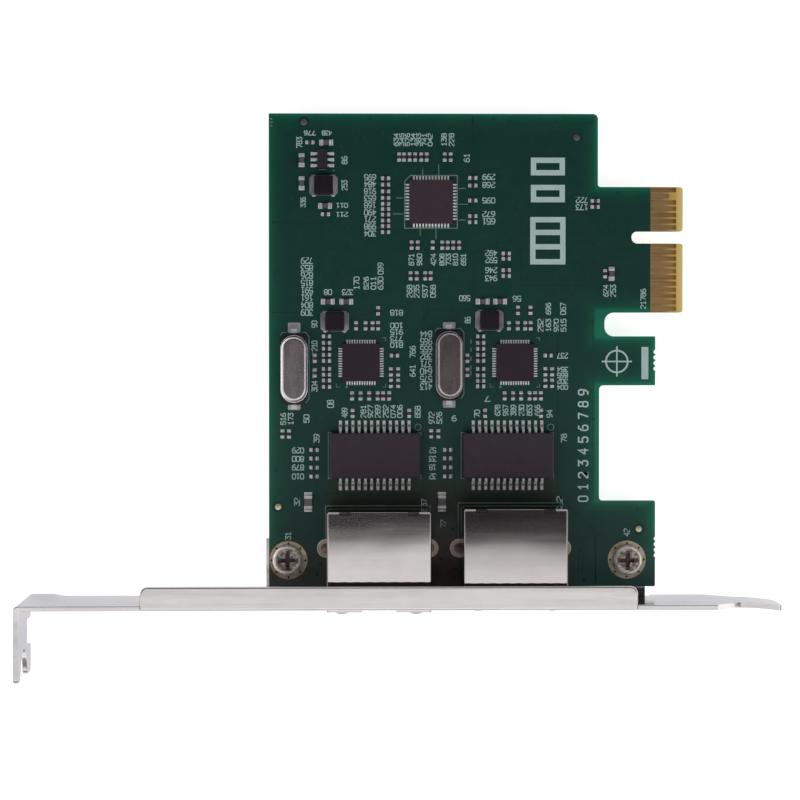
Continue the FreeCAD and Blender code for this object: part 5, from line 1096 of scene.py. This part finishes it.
# eight tracks from each controller down to its magnetics, and eight on to the jack
for ctl, mag, port in (("controller_left", "magnetics_left", "port_left"), ("controller_right", "magnetics_right", "port_right")):
    lo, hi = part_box(ctl + "_body")
    cx, cy = (lo.x + hi.x) / 2 / MM, lo.y / MM
    mlo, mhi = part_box(mag + "_body")
    mx, my, my0 = (mlo.x + mhi.x) / 2 / MM, mhi.y / MM, mlo.y / MM
    jlo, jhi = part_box(port + "_shield")
    jx, jy = (jlo.x + jhi.x) / 2 / MM, jhi.y / MM
    for i in range(8):
        x0 = cx - 2.0 + i * 0.4 + (0.35 if i > 3 else 0)
        x1 = mx - 5.0 + 1.0 * (i + (i // 2) * 0.5)
        y0, y1 = cy - 0.65, my + 2.35
        dx = abs(x1 - x0)
        ym = (y0 + y1) / 2
        s = min(dx, abs(y0 - y1) * 0.8)
        track([(x0, y0), (x0, ym + s / 2), (x1, ym - s / 2), (x1, y1)], 0.13)
        xa = mx - 5.0 + 1.0 * (i + (i // 2) * 0.5)
        xb = jx + (i - 3.5) * 1.27
        ya, yb = my0 - 2.35, jy + 0.15
        track([(xa, ya), (xa, ya - 0.35), (xb, yb + 0.25), (xb, yb)], 0.16)
# from the bridge to both controllers, and out to the edge contacts
for k in range(4):
    o = 0.34 * k + (0.25 if k > 1 else 0)
    track([(3.2 + o, 26.2), (3.2 + o, 19.6 - o), (-4.6 + o, 11.8 - o * 0.2), (-4.6 + o, 9.2)], 0.12)
    track([(6.4 + o, 26.2), (6.4 + o, 21.6), (16.2 + o, 11.8 + o * 0.2), (16.2 + o, 9.2)], 0.12)
for k in range(6):
    o = 0.36 * k + 0.3 * (k // 2)
    y = 31.6 - o
    track([(10.9, y), (12.6, y), (12.6 + 0.0, y), (17.3 + o * 0.4, y - 4.7 - o * 0.4), (19.9, y - 4.7 - o * 0.4)], 0.12)
    track([(27.3, y - 4.9 - o * 0.4), (31.0, y - 4.9 - o * 0.4), (33.4, y - 7.3 - o * 0.4), (36.6 if k == 0 else 39.6, y - 7.3 - o * 0.4)], 0.14)
# power feeds and loose signal runs, kept level as on the card
for y, x0, x1, w in ((-19.92, -19.6, -13.9, 0.16), (-21.62, -19.4, -13.4, 0.16), (-22.02, -19.4, -13.4, 0.16), (42.75, 10.4, 23.9, 0.14),
                     (43.25, 16.0, 26.0, 0.14), (-5.0, -19.9, -16.6, 0.14), (16.25, 17.5, 31.0, 0.14), (15.85, 19.5, 31.6, 0.14),
                     (14.6, 24.0, 33.0, 0.14), (-19.0, 27.3, 37.0, 0.14), (-19.6, 27.3, 36.5, 0.14), (-20.2, 27.3, 36.0, 0.14),
                     (-20.9, 27.3, 34.4, 0.14), (-21.7, 27.5, 34.0, 0.14), (-22.4, 27.5, 33.4, 0.14), (33.6, -19.8, -15.2, 0.14),
                     (22.8, -19.9, -6.0, 0.14), (22.3, -19.9, -7.5, 0.14), (24.6, -8.8, 0.6, 0.14)):
    track([(x0, y), (x1, y)], w)
for x, y0, y1 in ((28.9, -22.6, -28.5), (29.5, -22.6, -28.9), (-7.0, 41.0, 31.8), (-6.5, 41.0, 31.2), (24.2, 18.6, 2.0), (25.0, 18.6, 0.5),
                  (31.2, 12.0, -15.5), (27.9, 18.8, 12.0), (-12.9, -15.2, -18.0)):
    track([(x, y0), (x, y1)], 0.14)
piece(g, "tracks_component_side", trace_mat)

g = Geo()
# the moats between copper areas
for pts in (((-20.2, 27.4), (-9.6, 27.4), (-8.2, 26.0), (-8.2, 19.4), (-14.6, 13.0), (-20.2, 13.0)),
            ((11.8, 44.2), (11.8, 36.6), (19.6, 28.8), (19.6, 17.4), (31.8, 17.4)),
            ((12.0, 24.2), (12.0, 13.4), (3.9, 13.4), (3.9, -3.2)),
            ((-13.2, -3.4), (-13.2, -16.1), (3.9, -16.1), (3.9, -4.2)),
            ((8.9, -3.4), (8.9, -16.1), (25.5, -16.1), (25.5, 9.0)),
            ((25.9, -16.6), (31.6, -22.3), (31.6, -30.4))):
    g.ribbon(pts, 0.22, TOP - 0.01, TOP + 0.006, ends=3)
piece(g, "mask_moats_component_side", gap_mat)

# underside: longer parallel runs, joints of the jacks and a few numbers
g = Geo()
Z0, Z1 = BOTTOM - 0.012, BOTTOM + 0.01
under_keep = [(-13.5, -33, 6.8, -17.5), (7.7, -33, 28.2, -17.0), (-21.4, -30.4, -14.0, -23.0), (33.0, -30.4, 40.3, -23.0)]
runs = [
    ([(-18.5, 40.5), (-18.5, 2.0), (-14.0, -2.5), (-14.0, -15.5)], 7, 0.42, 0.16),
    ([(-10.0, 42.5), (14.0, 42.5), (18.5, 38.0), (18.5, 24.0), (22.0, 20.5), (39.2, 20.5)], 6, 0.46, 0.16),
    ([(-8.0, 36.0), (-8.0, 14.0), (-3.0, 9.0), (-3.0, -14.5)], 8, 0.40, 0.14),
    ([(14.0, 33.0), (14.0, 10.0), (19.0, 5.0), (19.0, -14.5)], 8, 0.40, 0.14),
    ([(25.5, 37.0), (29.5, 33.0), (29.5, 29.0), (31.0, 27.5), (39.4, 27.5)], 6, 0.52, 0.18),
    ([(28.5, 9.0), (28.5, -12.0), (26.0, -14.5), (8.0, -14.5)], 5, 0.44, 0.16),
    ([(5.0, 22.0), (5.0, 0.0), (9.0, -4.0), (9.0, -12.5)], 5, 0.42, 0.14),
]
for pts, n, pitch, w in runs:
    P = [np.array(p) for p in pts]
    for k in range(n):
        off = (k - (n - 1) / 2) * pitch
        out = []
        for i in range(len(P)):
            a = P[i] - P[i - 1] if i else P[1] - P[0]
            b = P[i + 1] - P[i] if i < len(P) - 1 else P[-1] - P[-2]
            a, b = a / np.linalg.norm(a), b / np.linalg.norm(b)
            na, nb = np.array([-a[1], a[0]]), np.array([-b[1], b[0]])
            m = (na + nb) / np.linalg.norm(na + nb)
            out.append(tuple(P[i] + m * off / max(0.5, float(m @ na))))
        track(out, w, g, Z0, Z1)
piece(g, "tracks_solder_side", trace_mat)

g, pads_under, plate = Geo(), Geo(), Geo()


def cone(g, x, y, r, top_r, tall, n=20, z=BOTTOM):
    prof = [(r, z + 0.01), (r, z - 0.02)]
    for t in (0.15, 0.35, 0.55, 0.75, 0.9, 1.0):
        prof.append((top_r + (r - top_r) * (1 - t) ** 2.2, z - 0.02 - tall * t))
    g.lathe(x, y, [(a, b) for a, b in prof[::-1]], n)


for name in ("port_left", "port_right"):
    lo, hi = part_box(name + "_shield")
    jx, front = (lo.x + hi.x) / 2 / MM, lo.y / MM
    for i in range(8):
        x, y = jx + (i - 3.5) * 1.27, front + (11.82 if i % 2 == 0 else 14.36)
        pads_under.ring(x, y, 0.47, 0.78, BOTTOM - 0.03, BOTTOM + 0.01, 24)
        cone(g, x, y, 0.70, 0.22, 0.72)
    for s in (-1, 1):
        x, y = jx + s * 8.02, -24.80
        pads_under.ring(x + s * 0.23, y, 0.86, 1.50, BOTTOM - 0.03, BOTTOM + 0.01, 32)
        cone(g, x + s * 0.10, y, 1.22, 0.42, 0.40, 24)
        # lamp leads, two each side, at the rear of the jack
        for q in (0, 1):
            lx, ly = jx + s * (5.30 + 2.0 * q), front + 13.4 - 2.2 * q
            if abs(lx - jx) > 7.6:
                continue
            pads_under.ring(lx, ly, 0.40, 0.74, BOTTOM - 0.03, BOTTOM + 0.01, 24)
            cone(g, lx, ly, 0.66, 0.20, 0.66)
piece(pads_under, "jack_lands_solder_side", land)
piece(g, "jack_solder_joints", solder, angle=50)

g = Geo()
for x0, y0, x1, y1, txt in ((-12.0, -16.6, -10.0, -15.7, "12"), (9.2, -16.6, 11.2, -15.7, "34"), (24.0, 38.6, 26.4, 39.8, "56"),
                            (-16.0, 38.6, -13.6, 39.8, "78"), (34.6, 22.6, 36.8, 23.7, "18"), (34.6, 30.0, 36.8, 31.1, "12")):
    number(g, txt, x0, y0, x1, y1, 0, 0.15, BOTTOM - 0.022, BOTTOM + 0.01, mirror=True)
for name in ("port_left", "port_right"):
    lo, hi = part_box(name + "_shield")
    x0, x1, y1 = lo.x / MM - 0.3, hi.x / MM + 0.3, hi.y / MM + 0.3
    g.ribbon([(x0, -23.0), (x0, y1), (x1, y1), (x1, -23.0)], 0.16, BOTTOM - 0.022, BOTTOM + 0.01, ends=3)
piece(g, "screen_print_solder_side", ink)

# splinters left between the bites where the board was broken out of its panel
stub_mat = plastic("sawn_laminate", (0.16, 0.22, 0.11), 0.75, second=(0.09, 0.14, 0.06), grain=5.0, bump=0.6, deep=0.04)
g = Geo()
for edge, ys in ((41.19, (7.14, 6.24, 5.34, 4.44, 3.54)), (41.20, (-22.87, -23.77, -24.67, -25.57, -26.47))):
    for k, y in enumerate(ys):
        r = 0.10 + 0.02 * ((k * 7) % 3)
        d = 0.03 + 0.02 * ((k * 5) % 3)
        rings = []
        for z in (BOTTOM + 0.08, BOTTOM + 0.5, TOP - 0.55, TOP - 0.06):
            j = 0.012 * math.sin(7.0 * z + 3 * k)
            rings.append([(edge - 0.05, y - r, z), (edge + d * 0.7 + j, y - r * 0.75, z), (edge + d + j, y - r * 0.1, z),
                          (edge + d * 0.8 - j, y + r * 0.6, z), (edge - 0.05, y + r, z)])
        g.rings(rings)
piece(g, "panel_break_stubs", stub_mat)
# ------------------------------------------------------------- floor and light --
fl = Geo()
n = 24
S = 1400.0
for iy in range(n):
    for ix in range(n):
        x0, x1 = -S + 2 * S * ix / n, -S + 2 * S * (ix + 1) / n
        y0, y1 = -S + 2 * S * iy / n, -S + 2 * S * (iy + 1) / n
        fl.add([(x0, y0, -0.02), (x1, y0, -0.02), (x1, y1, -0.02), (x0, y1, -0.02)], [[0, 1, 2, 3]])
me = bpy.data.meshes.new("studio_floor")
me.from_pydata([(x * MM, y * MM, z * MM) for x, y, z in fl.v], [], fl.f)
floor = bpy.data.objects.new("studio_floor", me)
scene.collection.objects.link(floor)
fm = Mat("studio_floor_white", (0.93, 0.93, 0.93), 0.0, 0.85, Specular_IOR_Level=0.15)
fm.colour(fm.ramp(fm.noise(0.002, 2.0), [(0.3, (0.92, 0.92, 0.92)), (0.7, (0.95, 0.95, 0.95))]))
fm.s.inputs["Emission Color"].default_value = (1, 1, 1, 1)
fm.s.inputs["Emission Strength"].default_value = FLOOR_GLOW
me.materials.append(fm.m)


def softbox(name, centre, aim, width, height, power, colour=(1, 1, 1)):
    d = bpy.data.lights.new(name, "AREA")
    d.shape = "RECTANGLE"
    d.size, d.size_y = width, height
    d.energy = power
    d.color = colour
    o = bpy.data.objects.new(name, d)
    scene.collection.objects.link(o)
    o.location = centre
    v = Vector(aim) - Vector(centre)
    o.rotation_mode = "QUATERNION"
    o.rotation_quaternion = v.to_track_quat("-Z", "Y")
    o.visible_camera = False
    return o


# a large overhead softbox that stops just on the bracket side of the camera, one weaker box behind,
# and soft side fills
KEY_Z = 0.56
edge_y = -0.0275 - math.tan(math.radians(KEY_EDGE)) * (KEY_Z - 0.019)
key_len = 0.62
softbox("key_softbox", (0.0, edge_y - key_len / 2, KEY_Z), (0.0, edge_y - key_len / 2, 0.0), 1.5, key_len, KEY_POWER)
softbox("rear_softbox", (0.0, 0.62, 0.50), (0.0, 0.0, 0.0), 1.0, 0.35, REAR_POWER)
softbox("left_fill", (-0.80, 0.05, 0.40), (0.0, 0.0, 0.0), 0.4, 0.9, SIDE_POWER)
softbox("right_fill", (0.80, 0.05, 0.40), (0.0, 0.0, 0.0), 0.4, 0.9, SIDE_POWER)

world = bpy.data.worlds.new("studio_air")
scene.world = world
world.use_nodes = True
wn = world.node_tree
wn.nodes.clear()
wo = wn.nodes.new("ShaderNodeOutputWorld")
bg = wn.nodes.new("ShaderNodeBackground")
tc = wn.nodes.new("ShaderNodeTexCoord")
sp = wn.nodes.new("ShaderNodeSeparateXYZ")
rm = wn.nodes.new("ShaderNodeValToRGB")
wn.links.new(tc.outputs["Generated"], sp.inputs[0])
wn.links.new(sp.outputs[2], rm.inputs["Fac"])
e = rm.color_ramp.elements
e[0].position, e[0].color = 0.0, (0.55, 0.55, 0.56, 1)
e[1].position, e[1].color = 1.0, (*ZENITH, 1)
k = e.new(0.45)
k.color = (0.37, 0.37, 0.37, 1)
k = e.new(0.80)
k.color = (0.16, 0.155, 0.158, 1)
k = e.new(0.95)
k.color = (*ZENITH, 1)
wn.links.new(rm.outputs["Color"], bg.inputs["Color"])
bg.inputs["Strength"].default_value = WORLD
wn.links.new(bg.outputs[0], wo.inputs[0])

# --------------------------------------------------------------------- camera --
cd = bpy.data.cameras.new("camera")
cam = bpy.data.objects.new("camera", cd)
scene.collection.objects.link(cam)
cd.sensor_width = 36.0
cd.lens = LENS
cam.location = (CAM[0] * MM, CAM[1] * MM, CAM[2] * MM)
aim = Vector((AIM[0] * MM, AIM[1] * MM, AIM[2] * MM))
v = aim - cam.location
# look along v with the card's +Y up in the frame
zc = (-v).normalized()
xc = Vector((0, 1, 0)).cross(zc).normalized()
yc = zc.cross(xc)
rot = Matrix((xc, yc, zc)).transposed()
cam.rotation_mode = "QUATERNION"
cam.rotation_quaternion = rot.to_quaternion()
cd.clip_start, cd.clip_end = 0.02, 10.0
cd.dof.use_dof = False
scene.camera = cam
